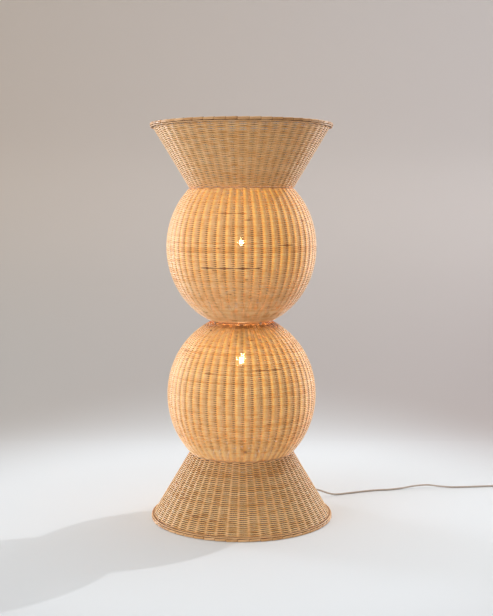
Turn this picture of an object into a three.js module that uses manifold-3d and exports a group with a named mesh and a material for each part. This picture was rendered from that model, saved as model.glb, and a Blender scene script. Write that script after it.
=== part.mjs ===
// Rattan floor lamp: a flared skirt, two globes and an open funnel, woven in
// cane and stacked on one axis around a welded steel frame. A spider at the
// waist holds a hanging and a standing lampholder. The lead runs down inside,
// leaves the skirt at the back right and goes by a foot switch to its plug.
// Millimetres, +Z up. The origin is the centre of the base on the floor, and
// the front faces -Y.

import * as THREE from 'three';
import { mergeVertices } from 'three/addons/utils/BufferGeometryUtils.js';
import Module from 'manifold-3d';

const wasm = await Module();
wasm.setup();

// Woven body
const BASE_RADIUS = 267;
const SKIRT_HEIGHT = 194;
const NECK_RADIUS = 152.3;
const GLOBE_HEIGHT = 386;
const GLOBE_RADIUS = 219.3;
const WAIST_RADIUS = 92.2;
const FUNNEL_HEIGHT = 184;
const RIM_RADIUS = 263;
const WEAVE_THICKNESS = 7;
const STAKE_COUNT = 52;
const HOLLOW_DEPTH = 2.2;
const BORDER_HEIGHT = 12;
const BORDER_WIDTH = 13;

// Steel frame
const UPRIGHT_DIAMETER = 6;
const RING_DIAMETER = 5;
const ARM_DIAMETER = 5;
const HUB_DIAMETER = 40;
const HUB_THICKNESS = 8;
const SPIDER_BARS = 2;
const BASE_RING_HEIGHT = 20;
const TOP_RING_DROP = 22;
const FRAME_AZIMUTH = THREE.MathUtils.degToRad(36);
const UPRIGHT_COUNT = 4;

// Lampholders and bulbs
const LOWER_FILAMENT_DROP = 113;
const UPPER_FILAMENT_RISE = 230;
const STEM_DIAMETER = 10;
const STEM_BORE = 6.4;
const STEM_ENTRY = 6;
const NUT_ACROSS = 17;
const NUT_HEIGHT = 5;
const NUT_SIDES = 6;
const HOLDER_DIAMETER = 40;
const HOLDER_MOUTH_DIAMETER = 36;
const HOLDER_WALL = 2;
const HOLDER_CAP_LENGTH = 20;
const HOLDER_CAP_SLOPE = 8;
const HOLDER_BODY_LENGTH = 36;
const CONTACT_BLOCK_THICKNESS = 9;
const CONTACT_TONGUE_HEIGHT = 3;
const CONTACT_TONGUE_DIAMETER = 8;
const SCREW_SHELL_WALL = 0.6;
const SCREW_SHELL_LENGTH = 22;
const BULB_LENGTH = 105;
const BULB_DIAMETER = 60;
const BULB_CAP_DIAMETER = 26.2;
const BULB_CAP_LENGTH = 26;
const BULB_CAP_FLOOR = 9;
const BULB_CAP_SLOPE_LOW = 3;
const BULB_CAP_SLOPE_HIGH = 6;
const BULB_CAP_WALL = 1;
const BULB_TIP_DIAMETER = 9;
const BULB_PEAR_ANGLE = THREE.MathUtils.degToRad(-35);
const GLASS_WALL = 1;
const FILAMENT_HEIGHT = 66;
const FILAMENT_LENGTH = 38;
const FILAMENT_FOOT_DIAMETER = 16;
const FILAMENT_HEAD_DIAMETER = 9;
const FILAMENT_STICK_DIAMETER = 1.8;
const FILAMENT_COUNT = 4;
const FILAMENT_PLATE_THICKNESS = 1;
const GLASS_STEM_DIAMETER = 7;
const GLASS_STEM_FOOT_THICKNESS = 2;

// Lead, with its clips and its way out of the skirt
const CORD_DIAMETER = 5.5;
const CLIP_WIDTH = 7;
const CLIP_THICKNESS = 1.2;
const CLIP_CORNER = 2;
const EXIT_HEIGHT = 30;
const SLEEVE_DIAMETER = 12;
const SLEEVE_TIP_DIAMETER = 8;
const SLEEVE_INSIDE = 10;
const SLEEVE_NOSE = 24;
const EXIT_BEND = 24;
const EXIT_BEND_LOW = 6;

// Foot switch
const SWITCH_LENGTH = 84;
const SWITCH_WIDTH = 34;
const SWITCH_CORNER = 10;
const SWITCH_TRAY_HEIGHT = 9;
const SWITCH_COVER_HEIGHT = 13;
const SWITCH_WALL = 2;
const SWITCH_EDGE = 1.5;
const BUTTON_DIAMETER = 22;
const BUTTON_FLANGE_WIDTH = 1.6;
const BUTTON_FLANGE_THICKNESS = 2;
const BUTTON_RISE = 5;
const BUTTON_DOME = 1.5;
const BUTTON_TRAVEL = 3;
const SWITCH_CORE_LENGTH = 34;
const SWITCH_CORE_WIDTH = 24;
const SWITCH_SCREW_SPACING = 60;
const SCREW_SHANK_DIAMETER = 2.6;
const SCREW_HEAD_DIAMETER = 5.2;
const SCREW_HEAD_THICKNESS = 1.5;
const SCREW_LENGTH = 14;
const SCREW_POST_DIAMETER = 6;
const RELIEF_LENGTH = 22;
const RELIEF_DIAMETER = 10;
const RELIEF_TIP_DIAMETER = 7;

// Plug
const PLUG_LENGTH = 36;
const PLUG_WIDTH = 35;
const PLUG_THICKNESS = 14;
const PLUG_REAR_WIDTH = 16;
const PLUG_EDGE = 2;
const PIN_DIAMETER = 4;
const PIN_LENGTH = 19;
const PIN_SEAT = 8;
const PIN_SPACING = 19;
const PIN_TIP = 1;

// Coil of spare lead
const COIL_MIDDLE_RADIUS = 30;
const COIL_TURNS_WIDE = 3;
const COIL_TURNS_HIGH = 3;
const TIE_WIDTH = 10;
const TIE_THICKNESS = 1;
const TIE_CORNER = 1.4;

// Clearances
const FIT_GAP = 0.3;
const CUT_OVERRUN = 1;
const COIL_ROOM = 0.4;
const MERGE_TOLERANCE = 1e-4;

// Facets and steps, as counts
const BORDER_FACETS = 40;
const RING_FACETS = 20;
const GLOBE_STEPS = 10;
const CREASE_STEPS = 3;
const WIRE_SIDES = 6;
const ROUND_FACETS = 18;
const COIL_FACETS = 26;
const SMALL_FACETS = 10;
const CORD_SIDES = 8;
const CORNER_FACETS = 3;
const BULB_STEPS = 7;
const CORD_STEP_DIAMETERS = 3;

// The lead on the floor, chosen by hand
const LEAD_ROUTE = [
  [215.85, 168.32, 30],
  [231, 178.5, 28.4],
  [249, 187, 21.5],
  [269, 196.5, 12],
  [287, 204.5, 5.8],
  [305, 212, 3.4],
  [345, 229, 2.9],
  [385, 246, 2.9],
  [430, 262, 2.9],
  [475, 270, 2.9],
  [520, 284, 4],
  [564, 297, 8],
  [605, 303.5, 9],
  [645, 302, 5],
  [685, 300, 3.1],
  [730, 303.5, 2.9],
  [780, 310, 2.9],
  [825, 315, 2.9],
  [858, 312, 2.9],
  [884, 297, 3.2],
  [896, 272, 4.8],
  [897, 256, 5.6],
  [897, 246, 5.6],
];
const COIL_LEAD_IN = [
  [897, 116.8, 5.6],
  [897, 108, 5.3],
  [897, 98, 4.3],
  [897, 87.2, 4.1],
];
const COIL_LEAD_OUT = [
  [957, 87.2, 4.1],
  [957, 98, 4.4],
  [957, 109, 6.3],
  [957, 119, 7],
];
const COIL_CENTRE = [927, 60];

const HALF_TURN = Math.PI;
const QUARTER_TURN = Math.PI / 2;
const FULL_TURN = 2 * Math.PI;

// Heights of the creases between the woven sections
const lowerNeckZ = SKIRT_HEIGHT;
const waistZ = lowerNeckZ + GLOBE_HEIGHT;
const upperNeckZ = waistZ + GLOBE_HEIGHT;
const topZ = upperNeckZ + FUNNEL_HEIGHT;

const uprightRadius = UPRIGHT_DIAMETER / 2;
const ringRadius = RING_DIAMETER / 2;
const cordRadius = CORD_DIAMETER / 2;

const lamp = new THREE.Group();

function finish(color, roughness, metalness) {
  return new THREE.MeshStandardMaterial({ color, roughness, metalness });
}

const cane = () => finish(0xc9a06c, 0.72, 0);
const steel = () => finish(0xb9b4a6, 0.45, 0.8);
const zinc = () => finish(0xa9abad, 0.35, 0.9);
const brass = () => finish(0xc7a557, 0.3, 0.95);
const bakelite = () => finish(0x2b2825, 0.45, 0);
const ceramic = () => finish(0xeee9df, 0.35, 0);
const glass = () => finish(0xf6efe2, 0.05, 0);
const filament = () => finish(0xffc873, 0.5, 0);
const flex = () => finish(0xb7aca0, 0.85, 0);
const moulding = () => finish(0xd8d0c4, 0.5, 0);
const rubber = () => finish(0x8d8378, 0.8, 0);
const strap = () => finish(0x6f675e, 0.9, 0);

function addPart(name, geometry, material, parent = lamp) {
  const mesh = new THREE.Mesh(geometry, material);
  mesh.name = name;
  parent.add(mesh);
  return mesh;
}

// Solids for cutting and joining
function toSolid(geometry) {
  const bare = geometry.clone();
  bare.deleteAttribute('normal');
  bare.deleteAttribute('uv');
  const merged = mergeVertices(bare, MERGE_TOLERANCE);
  const mesh = new wasm.Mesh({
    numProp: 3,
    vertProperties: new Float32Array(merged.attributes.position.array),
    triVerts: new Uint32Array(merged.index.array),
  });
  mesh.merge();
  return new wasm.Manifold(mesh);
}

function toGeometry(solid) {
  const mesh = solid.getMesh();
  const geometry = new THREE.BufferGeometry();
  geometry.setAttribute('position', new THREE.BufferAttribute(mesh.vertProperties, 3));
  geometry.setIndex(new THREE.BufferAttribute(mesh.triVerts, 1));
  geometry.computeVertexNormals();
  return geometry;
}

function cut(geometry, ...tools) {
  return toGeometry(tools.reduce((solid, tool) => solid.subtract(toSolid(tool)), toSolid(geometry)));
}

function join(geometry, ...others) {
  return toGeometry(others.reduce((solid, other) => solid.add(toSolid(other)), toSolid(geometry)));
}

// A solid of revolution about Z. The outline lists [radius, z] up the outside
// and down the inside, and closes on itself unless it starts on the axis.
function revolve(outline, facets) {
  const points = outline.map(([radius, z]) => new THREE.Vector2(radius, z));
  if (outline[0][0] > 0) points.push(points[0].clone());
  const geometry = new THREE.LatheGeometry(points, facets);
  geometry.rotateX(QUARTER_TURN);
  return geometry;
}

// A plain round bar from one z to another
function bar(radius, lowZ, highZ, facets) {
  return revolve([[0, lowZ], [radius, lowZ], [radius, highZ], [0, highZ]], facets);
}

// A hollow round tube from one z to another
function tube(outerRadius, innerRadius, lowZ, highZ, facets) {
  return revolve(
    [[innerRadius, lowZ], [outerRadius, lowZ], [outerRadius, highZ], [innerRadius, highZ]],
    facets,
  );
}

// A flat outline of [x, y] points, drawn counter-clockwise, given a height
function slab(points, lowZ, highZ, edge = 0) {
  const shape = new THREE.Shape(points.map(([x, y]) => new THREE.Vector2(x, y)));
  const geometry = new THREE.ExtrudeGeometry(shape, {
    depth: highZ - lowZ - 2 * edge,
    bevelEnabled: edge > 0,
    bevelSegments: 1,
    bevelThickness: edge,
    bevelSize: edge,
    bevelOffset: -edge,
  });
  geometry.translate(0, 0, lowZ + edge);
  return geometry;
}

// A rectangle about the origin with rounded corners
function roundedRectangle(length, width, corner) {
  const points = [];
  const centres = [
    [length / 2 - corner, width / 2 - corner],
    [corner - length / 2, width / 2 - corner],
    [corner - length / 2, corner - width / 2],
    [length / 2 - corner, corner - width / 2],
  ];
  centres.forEach(([x, y], quarter) => {
    for (let step = 0; step <= CORNER_FACETS; step += 1) {
      const angle = (quarter + step / CORNER_FACETS) * QUARTER_TURN;
      points.push([x + corner * Math.cos(angle), y + corner * Math.sin(angle)]);
    }
  });
  return points;
}

// A wire bent at listed points: straight between them, and its section at a
// bend lies on the bisecting plane
class BentLine extends THREE.Curve {
  constructor(points) {
    super();
    this.points = points;
  }

  getPoint(t, target = new THREE.Vector3()) {
    const last = this.points.length - 1;
    const start = Math.min(Math.floor(t * last), last - 1);
    return target.lerpVectors(this.points[start], this.points[start + 1], t * last - start);
  }

  getPointAt(u, target) {
    return this.getPoint(u, target);
  }

  getTangentAt(u, target = new THREE.Vector3()) {
    const last = this.points.length - 1;
    const index = Math.round(u * last);
    const here = this.points[index];
    const ahead = this.points[Math.min(index + 1, last)].clone().sub(here).normalize();
    const behind = here.clone().sub(this.points[Math.max(index - 1, 0)]).normalize();
    return target.copy(ahead).add(behind).normalize();
  }
}

function roundSection(radius, sides) {
  const points = [];
  for (let side = 0; side < sides; side += 1) {
    const angle = (side / sides) * FULL_TURN;
    points.push(new THREE.Vector2(radius * Math.cos(angle), radius * Math.sin(angle)));
  }
  return new THREE.Shape(points);
}

function sweep(curve, radius, sides, steps) {
  return new THREE.ExtrudeGeometry(roundSection(radius, sides), {
    extrudePath: curve,
    steps,
    bevelEnabled: false,
  });
}

function bentWire(points, radius, sides) {
  return sweep(new BentLine(points), radius, sides, points.length - 1);
}

// A lead laid along hand-chosen points
function laidLead(route) {
  const points = route.map(([x, y, z]) => new THREE.Vector3(x, y, z));
  const curve = new THREE.CatmullRomCurve3(points);
  const steps = Math.round(curve.getLength() / (CORD_STEP_DIAMETERS * CORD_DIAMETER));
  return sweep(curve, cordRadius, CORD_SIDES, Math.max(steps, 2));
}

// Faces of the woven body. place(share, depth) is the point a share of the
// way up the face and a depth inside it, and angle(share) is the elevation of
// its outward normal.
function coneFace(lowRadius, lowZ, highRadius, highZ) {
  const rise = highZ - lowZ;
  const spread = highRadius - lowRadius;
  const length = Math.hypot(spread, rise);
  return {
    length,
    place: (share, depth) => [
      lowRadius + share * spread - (depth * rise) / length,
      lowZ + share * rise + (depth * spread) / length,
    ],
    angle: () => Math.atan2(-spread, rise),
    shareAt: (z, depth) => (z - lowZ - (depth * spread) / length) / rise,
  };
}

function globeFace(lowRadius, lowZ, highRadius, highZ) {
  const lowSine = Math.sqrt(1 - (lowRadius / GLOBE_RADIUS) ** 2);
  const highSine = Math.sqrt(1 - (highRadius / GLOBE_RADIUS) ** 2);
  const halfHeight = (highZ - lowZ) / (lowSine + highSine);
  const middleZ = lowZ + halfHeight * lowSine;
  const start = -Math.asin(lowSine);
  const sweepAngle = Math.asin(highSine) - start;
  const turn = (share) => start + share * sweepAngle;
  const angle = (share) =>
    Math.atan2(Math.sin(turn(share)) / halfHeight, Math.cos(turn(share)) / GLOBE_RADIUS);
  return {
    length: sweepAngle * halfHeight,
    widestShare: -start / sweepAngle,
    place: (share, depth) => [
      GLOBE_RADIUS * Math.cos(turn(share)) - depth * Math.cos(angle(share)),
      middleZ + halfHeight * Math.sin(turn(share)) - depth * Math.sin(angle(share)),
    ],
    angle,
  };
}

const skirtFace = coneFace(BASE_RADIUS, 0, NECK_RADIUS, lowerNeckZ);
const lowerGlobeFace = globeFace(NECK_RADIUS, lowerNeckZ, WAIST_RADIUS, waistZ);
const upperGlobeFace = globeFace(WAIST_RADIUS, waistZ, NECK_RADIUS, upperNeckZ);
const funnelFace = coneFace(NECK_RADIUS, upperNeckZ, RIM_RADIUS, topZ);

// The braided borders: a roll, flat where it meets floor and wall
const BORDER_SECTION_SHARES = [
  [0.2, 0], [0.8, 0], [1, 0.4], [0.75, 1], [0.25, 1], [0, 0.5],
];

function braidedBorder(outerRadius, lowZ) {
  const outline = BORDER_SECTION_SHARES.map(([across, up]) => [
    outerRadius - BORDER_WIDTH + across * BORDER_WIDTH,
    lowZ + up * BORDER_HEIGHT,
  ]);
  return revolve(outline, BORDER_FACETS);
}

// A woven wall stands out in a rib over each stake, on both faces, and falls
// back between the stakes. Outer and inner list its points over a stake, and
// one rib lies at the first upright.
function ribbedWall(outer, inner) {
  const hollowShare = HOLLOW_DEPTH / WEAVE_THICKNESS;
  const fallBack = (from, to) => from.map(([radius, z], index) => [
    radius + hollowShare * (to[index][0] - radius),
    z + hollowShare * (to[index][1] - z),
  ]);
  const ribs = [...outer, ...inner.toReversed()];
  const hollows = [...fallBack(outer, inner), ...fallBack(inner, outer).reverse()];
  const geometry = revolve(ribs, 2 * STAKE_COUNT);
  const corners = geometry.attributes.position;
  const columnLength = ribs.length + 1;
  for (let corner = 0; corner < corners.count; corner += 1) {
    const column = Math.floor(corner / columnLength);
    if (column % 2 === 1) {
      const [radius, z] = hollows[(corner % columnLength) % ribs.length];
      const turn = Math.atan2(corners.getY(corner), corners.getX(corner));
      corners.setXYZ(corner, radius * Math.cos(turn), radius * Math.sin(turn), z);
    }
  }
  geometry.computeVertexNormals();
  geometry.rotateZ(FRAME_AZIMUTH + QUARTER_TURN);
  return geometry;
}

// Each wall stops a fit gap short of its creases, cut square to its face, and
// stands level on the border it is woven into.
function coneWall(face, outerShares, innerShares) {
  const outer = outerShares.map((share) => face.place(share, 0));
  const inner = innerShares.map((share) => face.place(share, WEAVE_THICKNESS));
  return ribbedWall(outer, inner);
}

// A globe is woven in two halves, and they meet near its widest row
const widestStep = (face) => Math.round(face.widestShare * GLOBE_STEPS);

function globeWall(face, fromStep, toStep) {
  const seam = FIT_GAP / face.length;
  const low = fromStep / GLOBE_STEPS + (fromStep === 0 ? seam : seam / 2);
  const high = toStep / GLOBE_STEPS - (toStep === GLOBE_STEPS ? seam : seam / 2);
  const outer = [];
  const inner = [];
  for (let step = fromStep; step <= toStep; step += 1) {
    const share = THREE.MathUtils.clamp(step / GLOBE_STEPS, low, high);
    outer.push(face.place(share, 0));
    inner.push(face.place(share, WEAVE_THICKNESS));
  }
  return ribbedWall(outer, inner);
}

const globeFoot = (face) => globeWall(face, 0, widestStep(face));
const globeCrown = (face) => globeWall(face, widestStep(face), GLOBE_STEPS);

// Depths inside the weave. Each upright lies on a rib, and the lead lies
// beside an upright, between the weave and the rings.
const leadAside = uprightRadius + cordRadius + FIT_GAP;
const leadDepth = WEAVE_THICKNESS + FIT_GAP + cordRadius;
const uprightAgainstWeave = WEAVE_THICKNESS + FIT_GAP + uprightRadius;
const leadOverhang = leadDepth + cordRadius - uprightAgainstWeave - uprightRadius;
const uprightDepth = uprightAgainstWeave + Math.max(0, leadOverhang);
const ringDepth = uprightDepth + uprightRadius + FIT_GAP + ringRadius;

// Points of a wire that turns round the inside of a crease
function creaseTurn(radius, z, fromAngle, toAngle, depth) {
  const points = [];
  for (let step = 1; step < CREASE_STEPS; step += 1) {
    const angle = fromAngle + (toAngle - fromAngle) * (step / CREASE_STEPS);
    points.push([radius - depth * Math.cos(angle), z - depth * Math.sin(angle)]);
  }
  return points;
}

function facePoints(face, depth, fromStep = 0, toStep = GLOBE_STEPS) {
  const points = [];
  for (let step = fromStep; step <= toStep; step += 1) {
    points.push(face.place(step / GLOBE_STEPS, depth));
  }
  return points;
}

const radialDirection = new THREE.Vector3(Math.cos(FRAME_AZIMUTH), Math.sin(FRAME_AZIMUTH), 0);
const sideDirection = new THREE.Vector3(-Math.sin(FRAME_AZIMUTH), Math.cos(FRAME_AZIMUTH), 0);

// A point in the plane of the first upright: out from the axis, aside and up
function framePoint(out, aside, z) {
  return new THREE.Vector3(0, 0, z)
    .addScaledVector(radialDirection, out)
    .addScaledVector(sideDirection, aside);
}

// Woven sections and their borders
const borderTop = BORDER_HEIGHT + FIT_GAP;
const funnelTop = topZ - BORDER_HEIGHT - FIT_GAP;
const coneSeam = FIT_GAP / skirtFace.length;
const sleeveRadius = SLEEVE_DIAMETER / 2;
const exitShare = skirtFace.shareAt(EXIT_HEIGHT, 0);
const exitOut = skirtFace.place(exitShare, 0)[0];
const exitAside = uprightRadius + FIT_GAP + sleeveRadius;

function skirtWeave() {
  const wall = coneWall(
    skirtFace,
    [skirtFace.shareAt(borderTop, 0), 1 - coneSeam],
    [skirtFace.shareAt(borderTop, WEAVE_THICKNESS), 1 - coneSeam],
  );
  const hole = bar(sleeveRadius + FIT_GAP, -SLEEVE_NOSE, SLEEVE_NOSE, ROUND_FACETS);
  hole.rotateY(QUARTER_TURN);
  hole.rotateZ(FRAME_AZIMUTH);
  const centre = framePoint(exitOut, exitAside, EXIT_HEIGHT);
  hole.translate(centre.x, centre.y, centre.z);
  return cut(wall, hole);
}

function funnelWeave() {
  const seam = FIT_GAP / funnelFace.length;
  return coneWall(
    funnelFace,
    [seam, funnelFace.shareAt(funnelTop, 0)],
    [seam, funnelFace.shareAt(funnelTop, WEAVE_THICKNESS)],
  );
}

addPart('base_border', braidedBorder(BASE_RADIUS, 0), cane());
addPart('skirt_weave', skirtWeave(), cane());
addPart('lower_globe_foot_weave', globeFoot(lowerGlobeFace), cane());
addPart('lower_globe_crown_weave', globeCrown(lowerGlobeFace), cane());
addPart('upper_globe_foot_weave', globeFoot(upperGlobeFace), cane());
addPart('upper_globe_crown_weave', globeCrown(upperGlobeFace), cane());
addPart('funnel_weave', funnelWeave(), cane());
addPart('top_border', braidedBorder(RIM_RADIUS, topZ - BORDER_HEIGHT), cane());

// Steel frame: four uprights bent to the profile, and rings welded inside
function ringSection(radius, z) {
  const outline = [];
  for (let side = 0; side < WIRE_SIDES; side += 1) {
    const angle = (side / WIRE_SIDES) * FULL_TURN;
    outline.push([radius + ringRadius * Math.cos(angle), z + ringRadius * Math.sin(angle)]);
  }
  return outline;
}

function frameRing(radius, z) {
  return revolve(ringSection(radius, z), RING_FACETS);
}

function uprightPoints() {
  const footShare = skirtFace.shareAt(borderTop + uprightRadius, uprightDepth);
  const headShare = funnelFace.shareAt(funnelTop - uprightRadius, uprightDepth);
  const creases = [
    creaseTurn(NECK_RADIUS, lowerNeckZ, skirtFace.angle(), lowerGlobeFace.angle(0), uprightDepth),
    creaseTurn(WAIST_RADIUS, waistZ, lowerGlobeFace.angle(1), upperGlobeFace.angle(0), uprightDepth),
    creaseTurn(NECK_RADIUS, upperNeckZ, upperGlobeFace.angle(1), funnelFace.angle(), uprightDepth),
  ];
  return [
    skirtFace.place(footShare, uprightDepth),
    skirtFace.place(1, uprightDepth),
    ...creases[0],
    ...facePoints(lowerGlobeFace, uprightDepth),
    ...creases[1],
    ...facePoints(upperGlobeFace, uprightDepth),
    ...creases[2],
    funnelFace.place(0, uprightDepth),
    funnelFace.place(headShare, uprightDepth),
  ];
}

const uprightPath = uprightPoints().map(([radius, z]) => framePoint(radius, 0, z));

for (let number = 0; number < UPRIGHT_COUNT; number += 1) {
  const upright = addPart(
    `upright_${number + 1}`,
    bentWire(uprightPath, uprightRadius, WIRE_SIDES),
    steel(),
  );
  upright.rotation.z = (number / UPRIGHT_COUNT) * FULL_TURN;
}

const baseRingShare = skirtFace.shareAt(BASE_RING_HEIGHT, ringDepth);
const baseRingRadius = skirtFace.place(baseRingShare, ringDepth)[0];
const topRingZ = topZ - TOP_RING_DROP;
const topRingRadius = funnelFace.place(funnelFace.shareAt(topRingZ, ringDepth), ringDepth)[0];
const neckRingRadius = NECK_RADIUS - ringDepth;
const waistRingRadius = WAIST_RADIUS - ringDepth;

addPart('base_ring', frameRing(baseRingRadius, BASE_RING_HEIGHT), steel());
addPart('lower_neck_ring', frameRing(neckRingRadius, lowerNeckZ), steel());
addPart('waist_ring', frameRing(waistRingRadius, waistZ), steel());
addPart('upper_neck_ring', frameRing(neckRingRadius, upperNeckZ), steel());
addPart('top_ring', frameRing(topRingRadius, topRingZ), steel());

// Waist spider: two crossed bars and a bored hub, welded in one piece. The
// bars reach a fit gap short of the facets of the waist ring.
const armReach = waistRingRadius - ringRadius - FIT_GAP
  - (ARM_DIAMETER / 2) * Math.tan(HALF_TURN / RING_FACETS);
const stemRadius = STEM_DIAMETER / 2;
const hubLowZ = waistZ - HUB_THICKNESS / 2;
const hubHighZ = waistZ + HUB_THICKNESS / 2;

function waistSpider() {
  const arms = [];
  for (let number = 0; number < SPIDER_BARS; number += 1) {
    const arm = bar(ARM_DIAMETER / 2, -armReach, armReach, WIRE_SIDES);
    arm.rotateY(QUARTER_TURN);
    arm.rotateZ(FRAME_AZIMUTH + (number / SPIDER_BARS) * HALF_TURN);
    arm.translate(0, 0, waistZ);
    arms.push(arm);
  }
  const hub = bar(HUB_DIAMETER / 2, hubLowZ, hubHighZ, ROUND_FACETS);
  const welded = join(...arms, hub);
  const boreRadius = stemRadius + FIT_GAP;
  const bore = bar(boreRadius, hubLowZ - CUT_OVERRUN, hubHighZ + CUT_OVERRUN, ROUND_FACETS);
  return cut(welded, bore);
}

addPart('waist_spider', waistSpider(), steel());

// Lampholder and bulb, drawn with the holder's closed end at zero and the
// bulb upwards
const holderRadius = HOLDER_DIAMETER / 2;
const holderInside = holderRadius - HOLDER_WALL;
const bodyLow = HOLDER_CAP_LENGTH + FIT_GAP;
const bodyHigh = bodyLow + HOLDER_BODY_LENGTH;
const blockLow = bodyLow;
const blockHigh = blockLow + CONTACT_BLOCK_THICKNESS;
const tongueHigh = blockHigh + CONTACT_TONGUE_HEIGHT;
const bulbTip = tongueHigh + FIT_GAP;
const bulbCapRadius = BULB_CAP_DIAMETER / 2;
const shellInside = bulbCapRadius + FIT_GAP;
const shellOutside = shellInside + SCREW_SHELL_WALL;
const shellLow = blockHigh + FIT_GAP;
const filamentAboveHolder = bulbTip + FILAMENT_HEIGHT;
const capEntryHeight = HOLDER_CAP_SLOPE + (HOLDER_CAP_LENGTH - HOLDER_CAP_SLOPE) / 2;

function holderCap() {
  const hole = stemRadius + FIT_GAP;
  const shoulder = (holderRadius + hole) / 2;
  return revolve([
    [hole, 0],
    [shoulder, 0],
    [holderRadius, HOLDER_CAP_SLOPE],
    [holderRadius, HOLDER_CAP_LENGTH],
    [holderInside, HOLDER_CAP_LENGTH],
    [holderInside, HOLDER_CAP_SLOPE + HOLDER_WALL / 2],
    [shoulder, HOLDER_WALL],
    [hole, HOLDER_WALL],
  ], ROUND_FACETS);
}

// The cap that takes the lead has a round entry in its side
function sideEntryCap() {
  const entry = bar(cordRadius + FIT_GAP, holderInside - HOLDER_WALL, holderRadius + HOLDER_WALL,
    SMALL_FACETS);
  entry.rotateY(QUARTER_TURN);
  entry.rotateZ(-FRAME_AZIMUTH);
  entry.translate(0, 0, capEntryHeight);
  return cut(holderCap(), entry);
}

function holderBody() {
  return revolve([
    [holderInside, bodyLow],
    [holderRadius, bodyLow],
    [holderRadius, (bodyLow + bodyHigh) / 2],
    [HOLDER_MOUTH_DIAMETER / 2, bodyHigh],
    [shellOutside + FIT_GAP, bodyHigh],
    [shellOutside + FIT_GAP, shellLow],
    [holderInside, shellLow],
  ], ROUND_FACETS);
}

function contactBlock() {
  const blockRadius = holderInside - FIT_GAP;
  const tongueRadius = CONTACT_TONGUE_DIAMETER / 2;
  return revolve([
    [0, blockLow],
    [blockRadius, blockLow],
    [blockRadius, blockHigh],
    [tongueRadius, blockHigh],
    [tongueRadius, tongueHigh],
    [0, tongueHigh],
  ], ROUND_FACETS);
}

function screwShell() {
  return tube(shellOutside, shellInside, shellLow, shellLow + SCREW_SHELL_LENGTH, ROUND_FACETS);
}

const bulbRadius = BULB_DIAMETER / 2;
const capInside = bulbCapRadius - BULB_CAP_WALL;
const glassNeckRadius = capInside - FIT_GAP;
const glassLow = BULB_CAP_FLOOR + FIT_GAP;
const bulbMiddle = BULB_LENGTH - bulbRadius;

function bulbCap() {
  const tipRadius = BULB_TIP_DIAMETER / 2;
  const shoulder = (bulbCapRadius + tipRadius) / 2;
  return revolve([
    [0, 0],
    [tipRadius, 0],
    [shoulder, BULB_CAP_SLOPE_LOW],
    [bulbCapRadius, BULB_CAP_SLOPE_HIGH],
    [bulbCapRadius, BULB_CAP_LENGTH],
    [capInside, BULB_CAP_LENGTH],
    [capInside, BULB_CAP_FLOOR],
    [0, BULB_CAP_FLOOR],
  ], ROUND_FACETS);
}

// One side of the pear-shaped glass, from its neck to the axis
function glassSide(depth) {
  const points = [
    [glassNeckRadius - depth, glassLow],
    [glassNeckRadius - depth, BULB_CAP_LENGTH],
  ];
  for (let step = 0; step <= BULB_STEPS; step += 1) {
    const angle = BULB_PEAR_ANGLE + (QUARTER_TURN - BULB_PEAR_ANGLE) * (step / BULB_STEPS);
    const radius = step < BULB_STEPS ? (bulbRadius - depth) * Math.cos(angle) : 0;
    points.push([radius, bulbMiddle + (bulbRadius - depth) * Math.sin(angle)]);
  }
  return points;
}

function bulbGlass() {
  return revolve([...glassSide(GLASS_WALL).reverse(), ...glassSide(0)], ROUND_FACETS);
}

const filamentLow = FILAMENT_HEIGHT - FILAMENT_LENGTH / 2;
const filamentHigh = FILAMENT_HEIGHT + FILAMENT_LENGTH / 2;

// The pressed glass stem that closes the neck and carries the filaments
function glassStem() {
  const footRadius = glassNeckRadius - GLASS_WALL - FIT_GAP;
  const rodRadius = GLASS_STEM_DIAMETER / 2;
  const footHigh = glassLow + GLASS_STEM_FOOT_THICKNESS;
  return revolve([
    [0, glassLow],
    [footRadius, glassLow],
    [footRadius, footHigh],
    [rodRadius, footHigh + GLASS_STEM_FOOT_THICKNESS],
    [rodRadius, filamentLow - FIT_GAP],
    [0, filamentLow - FIT_GAP],
  ], SMALL_FACETS);
}

// Upright filaments that lean in from a foot plate to a smaller head plate
function filamentCage() {
  const plate = FILAMENT_PLATE_THICKNESS;
  const footOut = (FILAMENT_FOOT_DIAMETER - FILAMENT_STICK_DIAMETER) / 2;
  const headOut = (FILAMENT_HEAD_DIAMETER - FILAMENT_STICK_DIAMETER) / 2;
  const lean = Math.atan2(headOut - footOut, FILAMENT_LENGTH);
  const foot = bar(FILAMENT_FOOT_DIAMETER / 2, filamentLow, filamentLow + plate, SMALL_FACETS);
  const head = bar(FILAMENT_HEAD_DIAMETER / 2, filamentHigh - plate, filamentHigh, SMALL_FACETS);
  const sticks = [];
  const halfLength = (FILAMENT_LENGTH - plate) / 2;
  for (let number = 0; number < FILAMENT_COUNT; number += 1) {
    const stick = bar(FILAMENT_STICK_DIAMETER / 2, -halfLength, halfLength, WIRE_SIDES);
    stick.rotateY(lean);
    stick.translate((footOut + headOut) / 2, 0, FILAMENT_HEIGHT);
    stick.rotateZ((number / FILAMENT_COUNT) * FULL_TURN);
    sticks.push(stick);
  }
  return join(foot, head, ...sticks);
}

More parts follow.
